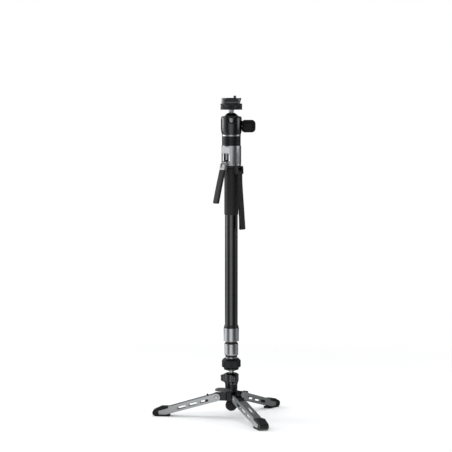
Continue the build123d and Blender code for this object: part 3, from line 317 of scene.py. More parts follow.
def makeWebbing():
    material, tree, shader = newMaterial("webbing")
    chart = addNode(tree, "ShaderNodeUVMap", uv_map="weave").outputs["UV"]
    weave = placeGroup(tree, weaveGroup, {"Vector": chart, "Pitch": webbing["pitch"]})
    # painted shade and light: the colour follows the weave's height, darker in its valleys
    feed(tree, shader, {
        "Base Color": mixColours(tree, weave["Mask"], webbing["dark"], webbing["light"]),
        "Normal": addBump(tree, webbing["bump"], webbing["depth"], weave["Height"]),
        "Roughness": webbing["roughness"], "Specular IOR Level": webbing["specular"],
        "Sheen Weight": webbing["sheen"]})
    return material


finishOf = {name: makeFinish(name, recipe) for name, recipe in finishes.items()}
finishOf["webbing"] = makeWebbing()
slotOf = {name: recipe["slot"] for name, recipe in finishes.items()}
slotOf["webbing"] = "webbing"
print("materials made:", len(finishOf))

# mesh helpers


def joined(*columns):
    return np.stack(columns, -1)


def fullTurn(count):
    return np.linspace(0, 2 * pi, count, endpoint=False)


def gridFaces(rows, columns, wrapRows=False, wrapColumns=False):
    # four-cornered faces between neighbours of a grid of points, as whole index arrays
    i, j = np.meshgrid(np.arange(rows if wrapRows else rows - 1),
                       np.arange(columns if wrapColumns else columns - 1), indexing="ij")
    up, side = (i + 1) % rows, (j + 1) % columns
    i, up = i * columns, up * columns
    return joined(i + j, i + side, up + side, up + j).reshape(-1, 4)


def cleanMesh(mesh, merge, least, flat=0.0):
    # doubles merged and empty faces dissolved; with flat, nearly level faces are joined too
    shape = bmesh.new()
    shape.from_mesh(mesh)
    bmesh.ops.remove_doubles(shape, verts=shape.verts, dist=merge)
    bmesh.ops.dissolve_degenerate(shape, edges=shape.edges, dist=least)
    if flat:
        bmesh.ops.dissolve_limit(shape, angle_limit=radians(flat), verts=shape.verts,
                                 edges=shape.edges)
    shape.to_mesh(mesh)
    shape.free()


def addObject(name, data):
    thing = bpy.data.objects.new(name, data)
    bpy.context.scene.collection.objects.link(thing)
    return thing


def finishPiece(name, mesh, body, finish, replaces, sharp):
    # smooth except at sharp edges, in its material, riding its body and standing for CAD nodes
    mesh.materials.clear()
    mesh.materials.append(finishOf[finish])
    mesh.shade_smooth()
    mesh.set_sharp_from_angle(angle=radians(sharp))
    thing = addObject(name, mesh)
    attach(thing, body)
    if replaces:
        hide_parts(replaces)
    return thing


weld = dict(merge=1e-7, least=1e-8)


def addPiece(name, points, faces, body, finish, replaces=None, sharp=40.0, chart=None):
    # a new piece from an array of points and their faces; the chart is its own flat map
    mesh = bpy.data.meshes.new(name)
    mesh.from_pydata(points.reshape(-1, 3).tolist(), [], faces.tolist())
    if chart is not None:
        flat = chart.reshape(-1, 2)[faces.ravel()].astype(np.float32)
        mesh.uv_layers.new(name="weave").data.foreach_set("uv", flat.ravel())
    cleanMesh(mesh, weld["merge"], weld["least"])
    finishPiece(name, mesh, body, finish, replaces, sharp)


softEdge = dict(merge=0.02, least=0.001, flat=0.6, angle=32.0)


def softCopy(node, body, finish, width=0.4, segments=2):
    # a merged copy of a CAD node whose sharp edges get a small bevel
    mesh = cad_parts[node].data.copy()
    cleanMesh(mesh, softEdge["merge"] * mm, softEdge["least"] * mm, softEdge["flat"])
    thing = finishPiece(node + "_soft", mesh, body, finish, node, softEdge["angle"])
    bevel = thing.modifiers.new("edges", "BEVEL")
    bevel.width = width * mm
    bevel.segments = segments
    bevel.limit_method = "ANGLE"
    bevel.angle_limit = radians(softEdge["angle"])
    bevel.harden_normals = True
    bevel.miter_outer = "MITER_ARC"


def dress(finish, *nodes):
    # CAD nodes whose shape is right get a better material
    for node in nodes:
        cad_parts[node].material_slots[0].material = finishOf[finish]


def roundedLine(corners, radius, steps=4, closed=False):
    # every corner becomes a short quadratic curve, which leaves its two runs at the radius
    p = np.array(corners, float)
    before, after = np.roll(p, 1, 0) - p, np.roll(p, -1, 0) - p
    if not closed:
        before[0] = after[-1] = 0
    backLength = np.linalg.norm(before, axis=1, keepdims=True)
    aheadLength = np.linalg.norm(after, axis=1, keepdims=True)
    reach = np.minimum(radius, 0.45 * np.minimum(backLength, aheadLength))
    start = (p + before / np.maximum(backLength, 1e-12) * reach)[:, None]
    end = (p + after / np.maximum(aheadLength, 1e-12) * reach)[:, None]
    t = np.linspace(0, 1, steps)[None, :, None]
    curve = (1 - t) ** 2 * start + 2 * t * (1 - t) * p[:, None] + t ** 2 * end
    return curve.reshape(-1, p.shape[1])


def denser(profile, step):
    # the same outline with extra rows, so that a relief has points to move
    gap = np.linalg.norm(np.diff(profile, axis=0), axis=1)
    count = np.maximum(1, np.ceil(gap / step)).astype(int)
    where = np.concatenate([np.arange(n) / n + i for i, n in enumerate(count)] + [[len(count)]])
    index = np.arange(len(profile))
    return joined(*(np.interp(where, index, profile[:, k]) for k in (0, 1)))


def turnedPoints(profile, segments, relief=None):
    # radius and height pairs swept round Z; a relief of angle, radius and height cuts the radius
    turn = fullTurn(segments)[None]
    reach = np.repeat(profile[:, :1], segments, 1)
    height = np.repeat(profile[:, 1:2], segments, 1)
    if relief is not None:
        reach = reach - relief(turn, reach, height)
    return joined(reach * np.cos(turn), reach * np.sin(turn), height)


def moved(points, place):
    # points carried by a 4 by 4 transform
    flat = points.reshape(-1, 3)
    return (np.c_[flat, np.ones(len(flat))] @ np.array(place).T)[:, :3]


def turnTo(angle, axis="Z"):
    return Matrix.Rotation(radians(angle), 4, axis)


def shiftTo(reach, height):
    return Matrix.Translation((reach * mm, 0, height * mm))


def acrossAt(angle, reach, height):
    # Z laid level and across the direction of the angle, at a distance from the axis
    return turnTo(angle) @ shiftTo(reach, height) @ turnTo(90, "X")


def sweptPiece(name, profile, body, finish, replaces, segments, relief=None, closed=False,
               sharp=50.0, place=None):
    # a finished profile in millimetres swept round Z, then moved to its place
    points = turnedPoints(profile * mm, segments, relief)
    if place is not None:
        points = moved(points, place)
    faces = gridFaces(len(profile), segments, closed, True)
    addPiece(name, points, faces, body, finish, replaces, sharp)


def turnedPiece(name, corners, body, finish, replaces, rounding=0.4, segments=160, relief=None,
                closed=True, steps=4, step=None, sharp=40.0):
    # corners are millimetres; a closed outline makes a ring, an open one starts and ends on Z
    profile = roundedLine(corners, rounding, steps, closed)
    if step:
        profile = denser(np.vstack([profile, profile[:1]]), step)[:-1]
    sweptPiece(name, profile, body, finish, replaces, segments, relief, closed, sharp)


def barPoints(path, side, up, halfWidth, halfThick, power, ring):
    # superellipse sections carried along a path; each direction and size is one for the whole path
    # or one for every point
    side, up = (np.broadcast_to(v, path.shape)[:, None] for v in (side, up))
    halfWidth, halfThick = (np.broadcast_to(v, len(path))[:, None] for v in (halfWidth, halfThick))
    turn = fullTurn(ring)[None]
    c, s = np.cos(turn), np.sin(turn)
    across = np.sign(c) * np.abs(c) ** (2 / power) * halfWidth
    above = np.sign(s) * np.abs(s) ** (2 / power) * halfThick
    return path[:, None] + across[..., None] * side + above[..., None] * up


def sizeOf(node):
    # lowest and highest Z of a round CAD node, and its radius
    low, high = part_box(node)
    return low.z / mm, high.z / mm, (high.x - low.x) / 2 / mm


def bottomOf(node):
    return sizeOf(node)[0]


def topOf(node):
    return sizeOf(node)[1]


def radiusOf(node):
    return sizeOf(node)[2]


# column

column = dict(gap=0.02, tubeEdge=0.25, collarEdge=0.7, capEdge=0.5, middleWall=1.4, lowestWall=1.3)
lowerCollar = dict(foot=1.7, footBevel=1.6, footRise=2.0, edge=1.2, gasket=3.5, gasketInset=2.3,
                   seat=2.1, seatInset=1.8, ringEdge=0.3)


def ringCorners(outer, inner, low, high):
    return [(outer, low), (outer, high), (inner, high), (inner, low)]


def addTube(node, wall, body):
    low, high, outer = sizeOf(node)
    turnedPiece(node + "_drawn", ringCorners(outer, outer - wall, low, high), body, "tubeGrey",
                node, column["tubeEdge"])


def addCap(collar, body, inner, waist, lip):
    # a collar's black cap narrows towards its waist and closes on the tube with a small lip
    low, high = sizeOf(collar + "_cap")[:2]
    outer = radiusOf(collar)
    corners = [(outer - 0.5, low), (outer - waist, (low + high) / 2), (inner + lip, high),
               (inner, high), (inner, low)]
    turnedPiece(collar + "_cap_moulded", corners, body, "blackPlastic", collar + "_cap",
                column["capEdge"])


def buildColumn():
    # rings turned round Z; the seat and the gasket stand below the lower collar
    dress("tubeGrey", "tube_1")
    dress("blackPlastic", "collar_1_bush", "collar_2_bush")
    dress("nylon", "tube_2_guide", "tube_3_guide")
    dress("polishedSteel", "release_rod")
    addTube("tube_2", column["middleWall"], "section_2")
    addTube("tube_3", column["lowestWall"], "column_lower")
    inner = radiusOf("tube_1") + column["gap"]
    low, high, outer = sizeOf("collar_1")
    turnedPiece("collar_1_turned", ringCorners(outer, inner, low, high), "section_1",
                "satinSilver", "collar_1", column["collarEdge"], steps=6)
    addCap("collar_1", "section_1", inner, 0.9, 0.9)
    c = lowerCollar
    inner = radiusOf("tube_2") + column["gap"]
    low, high, outer = sizeOf("collar_2")
    foot = low + c["foot"]
    corners = [(outer - c["footBevel"], foot), (outer, foot + c["footRise"]), (outer, high),
               (inner, high), (inner, foot)]
    turnedPiece("collar_2_turned", corners, "section_2", "satinSilver", "collar_2", c["edge"],
                steps=8)
    middle = foot - c["gasket"]
    seat = ringCorners(outer - c["seatInset"], inner, middle - c["seat"], middle - column["gap"])
    turnedPiece("collar_2_seat", seat, "section_2", "satinSilver", None, c["ringEdge"])
    gasket = ringCorners(outer - c["gasketInset"], inner, middle, foot - column["gap"])
    turnedPiece("collar_2_gasket", gasket, "section_2", "blackPlastic", None, c["ringEdge"])
    addCap("collar_2", "section_2", inner, 0.6, 1.2)


buildColumn()
print("column built")

# pan coupling and tilt joint

coupling = dict(teeth=44, toothDepth=0.75, topBevel=5.4, topDrop=0.5, topRadius=16.4,
                capRadius=13.6, skirtStep=2.6, skirtRadius=16.6, skirtBore=5.1)
lockRing = dict(lobes=3, lobeCentre=17.2, lobeRadius=6.2, firstLobe=173.5, blend=1.3, wall=16.3,
                lobeDrop=4.6, lobeHeight=12.4, foot=3.4, fade=1.6, power=0.7)


outerWall = 0.75  # teeth are cut only beyond this share of the largest radius


def softTooth(teeth, depth, low, high, fade):
    # V grooves round a band: a triangle wave of the angle, faded in and out near the two ends
    def relief(turn, reach, height):
        wave = np.abs(((turn * teeth / (2 * pi)) % 1.0) - 0.5) * 2
        inside = np.clip(np.minimum(height / mm - low, high - height / mm) / fade, 0, 1)
        return depth * mm * wave * inside * (reach > outerWall * reach.max())
    return relief


def buildCoupling():
    c = coupling
    low, high, outer = sizeOf("pan_coupling")
    hollow = radiusOf("pan_cap") * 0.5
    bore = radiusOf("tube_3") + 0.05
    skirt, cap, step = c["skirtRadius"], c["capRadius"], low + c["skirtStep"]
    bevel, top = high - c["topBevel"], high - c["topDrop"]
    corners = [
        (hollow, low), (skirt - 2.2, low), (skirt, low + 1.2), (skirt + 0.4, step - 0.3),
        (outer - 1.6, step), (outer, step + 1.6), (outer, bevel), (c["topRadius"], top),
        (cap + 0.05, top - 0.5), (bore, top - 0.5), (bore, low + 6), (hollow, low + 6)]
    teeth = softTooth(c["teeth"], c["toothDepth"], step + 1.2, bevel + 0.4, 0.8)
    turnedPiece("pan_coupling_knurled", corners, "column_lower", "knurledBlack",
                "pan_coupling", rounding=0.9, segments=c["teeth"] * 8, relief=teeth, step=0.5,
                sharp=75)
    low, high, skirt = sizeOf("pan_skirt")
    corners = [(c["skirtBore"], low), (skirt - 1.4, low), (skirt, low + 1.2), (skirt, high),
               (c["skirtBore"], high)]
    turnedPiece("pan_skirt_turned", corners, "column_lower", "satinBlack", "pan_skirt",
                rounding=0.5, segments=128)
    high = topOf("pan_cap") - 0.1
    bore = radiusOf("tube_3") + 0.04
    corners = [(cap - 0.1, top - 0.45), (cap, top - 0.9), (cap - 1.2, high), (bore, high),
               (bore, top - 0.45)]
    turnedPiece("pan_cap_turned", corners, "column_lower", "satinSilver", "pan_cap",
                rounding=0.3, segments=128)
    dress("polishedSteel", "pan_nut", "tilt_ball", "brake_plunger")
    dress("nylon", "ball_seat")


def lobeRadii(turn):
    # distance from the axis to the edge of the nearest round lobe, and zero away from it
    share = 2 * pi / lockRing["lobes"]
    off = (turn - radians(lockRing["firstLobe"]) + share / 2) % share - share / 2
    inside = lockRing["lobeRadius"] ** 2 - (lockRing["lobeCentre"] * np.sin(off)) ** 2
    edge = lockRing["lobeCentre"] * np.cos(off) + np.sqrt(np.maximum(inside, 0))
    return np.where(inside > 0, edge, 0)


def buildLockRing():
    # a turned cup whose outer wall grows into the lobes, joined to them by a smooth maximum
    r = lockRing
    low, high = sizeOf("tilt_lock_ring")[:2]
    lobeTop = high - r["lobeDrop"]
    lobeLow = lobeTop - r["lobeHeight"]
    corners = [(13.5, low), (14.1, low + 3.4), (r["wall"], lobeLow - 0.6),
               (r["wall"], high - 3.2), (11.4, high), (10.7, high), (8.95, high - 4.8),
               (11.1, high - 11.3), (11.85, high - 11.5), (11.85, low)]

    def relief(turn, reach, height):
        wide, tall = reach / mm, height / mm
        rise = np.clip((tall - (lobeLow - r["foot"])) / r["foot"], 0, 1)
        rise = (rise * np.clip((lobeTop + 0.9 - tall) / r["fade"], 0, 1)) ** r["power"]
        lobe = wide + (np.maximum(lobeRadii(turn), 12) - wide) * rise
        share = np.clip(0.5 + 0.5 * (lobe - wide) / r["blend"], 0, 1)
        merged = wide * (1 - share) + lobe * share + r["blend"] * share * (1 - share)
        outside = (wide > 12.4) & (tall > low + 0.3)
        return np.where(outside, (wide - merged) * mm, 0)

    turnedPiece("tilt_lock_ring_cast", corners, "tilt_ring", "ringGrey", "tilt_lock_ring",
                rounding=0.9, segments=240, relief=relief, steps=5, step=0.45, sharp=60)


buildCoupling()
buildLockRing()
print("coupling and tilt joint built")

# base

legAngles = {"left": 173.5, "front": 293.5, "rear": 413.5}
legBolt = dict(reach=32.6, height=44.0, shank=3.2, headRadius=4.4, halfLength=9.3, head=1.3,
               socket=2.1, socketDepth=0.5)
footBall = dict(radius=13.0, height=26.7, rim=52.0, neck=4.0, top=48.0)


def buildBase():
    softCopy("base_hub", "base", "hubBlack", 0.35)
    for side in legAngles:
        body = "leg_" + side
        softCopy("leg_" + side, body, "legSilver", 0.3)
        softCopy("latch_" + side, body, "blackPlastic", 0.5, 3)
        softCopy("shoe_" + side, body, "shoeRubber", 0.9, 4)
    buildBolts()
    b = footBall
    angle = np.linspace(-pi / 2, radians(b["rim"]), 60)
    ball = joined(b["radius"] * np.cos(angle), b["height"] + b["radius"] * np.sin(angle))
    ball = np.vstack([ball, [(b["neck"], ball[-1, 1]), (b["neck"], b["top"]), (0.0, b["top"])]])
    sweptPiece("ball_foot_moulded", ball, "base", "shoeRubber", "ball_foot", 96)
    dress("polishedSteel", "pedal_pin")


def buildBolts():
    # bolts turned about their own axis and laid across each leg; a head is a quarter ellipse that
    # falls from its drive recess to its rim
    b = legBolt
    half, wide = b["halfLength"], b["headRadius"]
    arc = np.linspace(np.arcsin(b["socket"] / wide), pi / 2, 10)
    dome = joined(wide * np.sin(arc), half + b["head"] * np.cos(arc))
    bottom = half + b["socketDepth"]
    top = np.vstack([(b["shank"], half), (wide - 0.02, half), dome[::-1], (b["socket"], bottom),
                     (0, bottom)])
    profile = np.vstack([top[::-1] * (1, -1), top])
    points = turnedPoints(profile * mm, 48)
    faces = gridFaces(len(profile), 48, False, True)
    count = points[..., 0].size
    places = [acrossAt(angle, b["reach"], b["height"]) for angle in legAngles.values()]
    bolts = [moved(points, place) for place in places]
    allFaces = np.vstack([faces + count * k for k in range(len(bolts))])
    addPiece("leg_bolts", np.vstack(bolts), allFaces, "base", "polishedSteel", "leg_pins")


pedalPad = dict(angle=-125.0, pin=10.4, pinHeight=61.5, rise=8.0, start=18.0, tip=56.5, half=8.2,
                thick=8.4, drop=-0.9, power=2.4)


def buildPedal():
    # the CAD lever with soft edges, and round its pad a lens: half width and half depth times the
    # root of one minus the distance from the middle to a power
    softCopy("pedal", "pedal", "pedalGrey", 0.9, 4)
    p = pedalPad
    lean = radians(p["rise"])
    t = 0.5 - 0.5 * np.cos(np.linspace(0, pi, 60))
    along = p["start"] + (p["tip"] - p["start"]) * t
    edge = np.sqrt(np.clip(1 - np.abs(2 * t - 1) ** p["power"], 0, 1))
    height = p["pinHeight"] - p["drop"] + tan(lean) * (along - p["pin"])
    path = joined(along, 0 * along, height) * mm
    points = barPoints(path, (0, 1, 0), (-sin(lean), 0, cos(lean)),
                       p["half"] * edge * mm, p["thick"] / 2 * edge * mm, p["power"], 48)
    addPiece("pedal_pad", moved(points, turnTo(p["angle"])), gridFaces(60, 48, False, True),
             "pedal", "pedalGrey", sharp=50)


buildBase()
print("base built")

# grip, lever housing, collar and springs

grip = dict(inner=14.04, footInset=1.4, footRise=1.6, topDrop=0.2, edge=1.0)
topCollar = dict(ribs=6, depth=0.45, flank=0.55, gap=0.05, inner=12.6, stud=4.76, edge=0.3)
headBase = dict(bore=4.8, inner=12.0, gap=0.3, edge=0.35)


def buildGrip():
    g, c, b = grip, topCollar, headBase
    low, high, outer = sizeOf("grip")
    top = high - g["topDrop"]
    corners = [(g["inner"], low), (outer - g["footInset"], low), (outer, low + g["footRise"]),
               (outer, top), (g["inner"], top)]
    turnedPiece("grip_sleeve", corners, "section_1", "gripFoam", "grip", g["edge"], steps=6)
    softCopy("grip_ring", "section_1", "blackPlastic")
    softCopy("lever_housing", "section_1", "housingSilver", 0.35)
    softCopy("lever_cover", "section_1", "leverSilver", 0.3)
    softCopy("strap_lug", "section_1", "blackPlastic", 0.6, 3)
    dress("polishedSteel", "lever_pin")
    low, high, outer = sizeOf("top_collar")
    bottom, top, inner = topOf("lever_housing"), bottomOf("head_base"), c["inner"]
    bands = np.linspace(bottom, top, c["ribs"] + 1)
    corners = [(0, low), (inner, low), (inner, bottom - 0.02), (inner, bottom)]
    for start, end in zip(bands[:-1], bands[1:]):
        corners += [(outer - c["depth"], start + c["gap"]), (outer, start + c["flank"]),
                    (outer, end - c["flank"]), (outer - c["depth"], end - c["gap"])]
    corners += [(inner, top), (c["stud"], top), (c["stud"], high), (0, high)]
    turnedPiece("top_collar_ribbed", corners, "section_1", "knurledBlack", "top_collar",
                c["edge"], closed=False)
    low, high, outer = sizeOf("head_base")
    face = bottomOf("head_housing") - b["gap"]
    corners = [(b["bore"], low), (outer, low), (outer, face), (b["inner"], face),
               (b["inner"], high), (b["bore"], high)]
    turnedPiece("head_base_turned", corners, "section_1", "housingSilver", "head_base",
                b["edge"])


springs = {
    "pedal_spring": dict(body="base", reach=2.1, wire=0.43, rise=0.9, turns=3, angle=-125.0,
                         at=(10.4, 61.5)),
    "lever_spring": dict(body="section_1", reach=2.9, wire=0.43, rise=0.9, turns=4, angle=-138.0,
                         at=(18.5, 557.9)),
}


def buildSprings():
    # a round wire carried along a helix, laid across its lever; its two ends close to a point
    ring, steps = 12, 40
    for node, s in springs.items():
        t = np.linspace(0, s["turns"], int(s["turns"] * steps))
        angle = 2 * pi * t
        path = joined(s["reach"] * np.cos(angle), s["reach"] * np.sin(angle),
                      s["rise"] * (t - s["turns"] / 2))
        out = joined(np.cos(angle), np.sin(angle), 0 * t)
        ahead = np.gradient(path, axis=0)
        ahead /= np.linalg.norm(ahead, axis=1, keepdims=True)
        size = s["wire"] * np.sqrt(np.clip(np.minimum(t, s["turns"] - t) / 0.02, 0, 1))
        points = barPoints(path, out, np.cross(ahead, out), size, size, 2.0, ring)
        addPiece(node + "_wire", moved(points * mm, acrossAt(s["angle"], *s["at"])),
                 gridFaces(len(t), ring, False, True), s["body"], "polishedSteel", node)


buildGrip()
buildSprings()
print("grip built")

# lever

lever = dict(angle=-138.0, pin=18.5, pinHeight=557.9, lean=15.0, start=16.3, length=74.6,
             offset=3.05, width=17.0, thick=5.5, bow=0.5, tip=0.035, narrow=0.35, power=4.5)


def buildLever():
    # a bar down the lever from its pin that bows out by a sine; near its tip the depth falls as the
    # root of one minus a square, and the width by a share of that
    softCopy("trigger_lever", "lever", "leverSilver", 0.4, 3)
    v = lever
    tip = v["tip"]
    s = np.r_[np.linspace(0, 0.03, 8), np.linspace(0.04, 0.96, 60), 1 - np.linspace(tip, 0, 12)]
    ends = np.sqrt(np.clip(1 - np.clip((s - 1 + tip) / tip, 0, 1) ** 2, 0, 1))
    half = v["width"] / 2 * (1 - v["narrow"] * (1 - ends)) * (s > 0.0005) * (s < 0.9995)
    thick = v["thick"] / 2 * ends * (s > 0.0005)
    down = v["start"] + v["length"] * s
    out = v["offset"] + v["bow"] * np.sin(pi * s)
    lean = radians(v["lean"])
    path = joined(v["pin"] + down * sin(lean) + out * cos(lean), 0 * s,
                  v["pinHeight"] - down * cos(lean) + out * sin(lean)) * mm
    points = barPoints(path, (0, 1, 0), (cos(lean), 0, sin(lean)), half * mm,
                       thick * mm, v["power"], 64)
    addPiece("lever_blade_moulded", moved(points, turnTo(v["angle"])),
             gridFaces(len(s), 64, False, True), "lever", "leverBlack", "lever_blade", sharp=60)


buildLever()
print("lever built")

# strap

strap = dict(angle=-40.0, width=15.0, thick=1.6, bar=22.2, eye=1.95, drop=14.6, length=124.0,
             lean=4.0, fold=3.4, power=8.0, ease=0.45)
strapGap = dict(at=(0.12, 0.5, 0.9), width=(1.25, 1.35, 1.6), smooth=6)


def buildStrap():
    # one webbing loop: round the bar, down both sides and round the fold; flat sections are
    # carried along that closed line, and the map runs in millimetres across and along it
    p = strap
    pinHeight = bottomOf("lever_housing") - p["drop"]
    foot = p["bar"] + tan(radians(p["lean"])) * p["length"]
    low = pinHeight - p["length"] + p["fold"]
    t = np.linspace(0, pi, 24)
    eye = p["eye"] + p["thick"] / 2
    fold = p["fold"] - p["thick"] / 2
    s = np.linspace(0, 1, 70)[1:-1]
    wide = strapGap["smooth"]
    gap = np.interp(s, [0, *strapGap["at"], 1], [eye, *strapGap["width"], fold])
    window = np.ones(2 * wide + 1) / (2 * wide + 1)
    gap = np.convolve(np.pad(gap, wide, mode="edge"), window, mode="valid")
    share = (1 - p["ease"]) * s + p["ease"] * s * s * (3 - 2 * s)
    middle = p["bar"] + (foot - p["bar"]) * share
    drop = pinHeight + (low - pinHeight) * s
    line = np.vstack([
        joined(p["bar"] + eye * np.cos(t), pinHeight + eye * np.sin(t)),
        joined(middle - gap, drop),
        joined(foot - fold * np.cos(t), low - fold * np.sin(t)),
        joined(middle + gap, drop)[::-1]])
    ahead = np.roll(line, -1, 0) - np.roll(line, 1, 0)
    ahead /= np.linalg.norm(ahead, axis=1, keepdims=True)
    path = joined(line[:, 0], 0 * line[:, 0], line[:, 1]) * mm
    up = joined(ahead[:, 1], 0 * ahead[:, 0], -ahead[:, 0])
    count, ring, half = len(line), 40, p["width"] / 2
    points = barPoints(path, (0, 1, 0), up, half * mm, p["thick"] / 2 * mm, p["power"], ring)
    run = np.r_[0, np.cumsum(np.linalg.norm(np.diff(line, axis=0), axis=1))]
    turn = fullTurn(ring)
    chart = joined(np.repeat((np.cos(turn) * half)[None], count, 0),
                   np.repeat(run[:, None], ring, 1))
    addPiece("strap_webbing", moved(points, turnTo(p["angle"])),
             gridFaces(count, ring, True, True)[:, ::-1], "strap", "webbing", "strap",
             sharp=70, chart=chart)


buildStrap()
print("strap built")

# head

headBall = dict(drop=9.6, stem=4.55, top=5.9)
knob = dict(flutes=9, depth=1.3, neck=11.2, radius=13.8, start=22.86, end=52.5, round=8.5,
            drop=12.0, shaft=3.05, socket=14.0, power=1.6)
stem = dict(radius=4.5, top=5.0, foot=6.2, waist=5.5, head=6.3, gap=0.3, edge=0.8)
clampRing = dict(teeth=60, toothDepth=0.5, inner=9.25, bevel=0.4, rise=0.6, band=1.9, edge=1.6)
screw = dict(pitch=1.27, depth=0.5, reach=7.4, radius=3.175, core=2.4, tip=2.6, bevel=0.6,
             head=5.4, headHeight=2.8, length=5.0)


def buildKnob(height):
    # a domed profile with flutes: a raised cosine of the angle to a power, faded at both ends
    k = knob
    rim = k["end"] - k["start"]
    arc = np.linspace(0, pi / 2, 14)
    dome = joined(k["radius"] - k["round"] * (1 - np.cos(arc)),
                  rim - k["round"] * (1 - np.sin(arc)))
    profile = denser(np.vstack([
        [(0, k["socket"]), (k["shaft"], k["socket"]), (k["shaft"], 0.0), (k["neck"] - 0.5, 0.0),
         (k["neck"], 0.5), (k["radius"] - 0.6, 4.2), (k["radius"], 5.2)], dome, [(0, rim)]]), 0.7)

    def flutes(turn, reach, tall):
        wave = 0.5 + 0.5 * np.cos((turn + pi / 2) * k["flutes"])
        start, end = (tall / mm - 6.0) / 2.0, (rim - 1.0 - tall / mm) / 3.0
        inside = np.clip(start, 0, 1) * np.clip(end, 0, 1)
        return k["depth"] * mm * wave ** k["power"] * inside * (reach > 6.0 * mm)

    sweptPiece("head_knob_fluted", profile, "knob", "knobRubber", "head_knob", 180, flutes,
               place=shiftTo(k["start"], height) @ turnTo(90, "Y"))


def buildHead():
    softCopy("head_housing", "head", "satinBlack", 0.5, 3)
    dress("polishedSteel", "knob_shaft")
    dress("nylon", "ball_cup")
    ballHeight = topOf("head_housing") - headBall["drop"]
    buildKnob(ballHeight - knob["drop"])
    radius, neck = radiusOf("head_ball"), headBall["stem"]
    angle = np.linspace(-pi / 2, acos(neck / radius), 90)
    ball = joined(radius * np.cos(angle), ballHeight + radius * np.sin(angle))
    ball[0, 0] = 0
    top = ballHeight + headBall["top"]
    sweptPiece("head_ball_polished", np.vstack([ball, [(neck, top), (0, top)]]), "ball",
               "blackPolish", "head_ball", 160, sharp=60)
    low, high = sizeOf("ball_stem")[:2]
    foot, top = ballHeight + radius + stem["gap"], bottomOf("clamp_ring")
    wide = stem["radius"]
    corners = [(0, low), (wide, low), (wide, foot), (stem["foot"], foot),
               (stem["waist"], (foot + top) / 2), (stem["head"], top), (stem["top"], top),
               (stem["top"], high), (0, high)]
    turnedPiece("ball_stem_turned", corners, "platform", "stemSteel", "ball_stem",
                stem["edge"], 96, closed=False, steps=5)
    buildClampRing()
    softCopy("clamp_body", "platform", "satinBlack", 0.35)
    softCopy("clamp_jaw", "jaw", "satinBlack", 0.35)
    softCopy("camera_plate", "plate", "plateBlack", 0.3)
    dress("gripFoam", "plate_pad")


def buildClampRing():
    c = clampRing
    low, high, outer = sizeOf("clamp_ring")
    corners = [(c["inner"], low), (outer - c["bevel"], low), (outer, low + c["rise"]),
               (outer, high - c["rise"]), (outer - c["bevel"], high), (c["inner"], high)]
    teeth = softTooth(c["teeth"], c["toothDepth"], low + c["band"], high - c["band"], 0.5)
    turnedPiece("clamp_ring_knurled", corners, "clamp_ring", "knurledBlack", "clamp_ring",
                c["edge"], c["teeth"] * 8, teeth, steps=5, step=0.6, sharp=75)


def buildScrew():
    # a screw thread: the radius falls with the distance from the helix's crest
    s = screw
    low, top = sizeOf("camera_screw")[:2]
    threadLow, headTop = top - s["length"], low + s["headHeight"]
    profile = denser(np.array([
        (0, low), (s["head"], low), (s["head"], headTop), (s["core"], headTop),
        (s["core"], threadLow), (s["radius"], threadLow), (s["radius"], top - s["bevel"]),
        (s["tip"], top), (0, top)]), 0.12)

    def cut(turn, reach, height):
        wave = np.abs((height / mm / s["pitch"] - turn / (2 * pi)) % 1.0 - 0.5) * 2
        inside = (height / mm > threadLow + 0.1) * (reach > 2.5 * mm)
        return s["depth"] * mm * wave * inside

    sweptPiece("camera_screw_threaded", profile, "camera_screw", "polishedSteel",
               "camera_screw", 96, cut, place=shiftTo(s["reach"], 0))


buildHead()
buildScrew()
buildPedal()
print("head and pedal built")

# stage, light and camera

# the studio as the metal sees it: azimuth from the camera side in degrees, positive to the right,
# and its level
studioField = (
    (-180, 0.30), (-135, 0.92), (-84, 0.98), (-74, 0.80), (-64, 0.20), (-40, 0.10), (-31, 0.22),
    (-23, 0.86), (-8, 0.98), (6, 0.90), (16, 0.55), (25, 0.16), (38, 0.06), (60, 0.08), (80, 0.28),
    (105, 0.36), (140, 0.28), (180, 0.30))
view = dict(distance=3.569, height=0.66, aside=-0.0116, lens=130.71, sensor=36.0, down=3.837)
stage = dict(floor=9.0, clear=0.42, fade=1.3, wallReach=1.6, wallHeight=1.7, panelGap=0.03)
levels = dict(fill=0.75, seen=1.0, ceiling=0.10)
white = (1.0, 1.0, 1.0, 1.0)
daylight = (0.98, 0.99, 1.0, 1.0)
skylight = (0.97, 0.985, 1.0, 1.0)
paperGrey = (0.80, 0.80, 0.80, 1.0)
# only mirrors see these: light ones beside the column, a dark one behind for faces that look up
panels = (
    dict(name="panelLeft", azimuth=-110, half=16, low=0.53, high=1.0, level=4.3),
    dict(name="panelLeftLow", azimuth=-116, half=20, low=0.25, high=0.52, level=2.1),
    dict(name="panelRight", azimuth=84, half=11, low=0.53, high=1.0, level=2.2),
    dict(name="panelBack", azimuth=180, half=60, low=0.01, high=0.75, level=0.05))
# painted light for mirrors: the paper beside the feet glows brighter in front and dimmer behind, as
# painted shade
nearFloor = dict(inner=0.33, outer=0.47, front=-0.22, back=0.10, frontLevel=1.20, backLevel=0.17)
lamps = (
    dict(name="keyLeft", azimuth=-108, reach=1.5, height=0.75, size=(0.7, 1.5), power=16.0),
    dict(name="frontTop", azimuth=-8, reach=2.4, height=1.9, size=(1.2, 0.8), power=20.0),
    dict(name="rightSoft", azimuth=112, reach=1.6, height=0.8, size=(0.5, 1.4), power=6.0),
    dict(name="overhead", azimuth=0, reach=0.01, height=2.3, size=(1.4, 1.4), power=14.0))
lampAim = Vector((0, 0, 0.38))


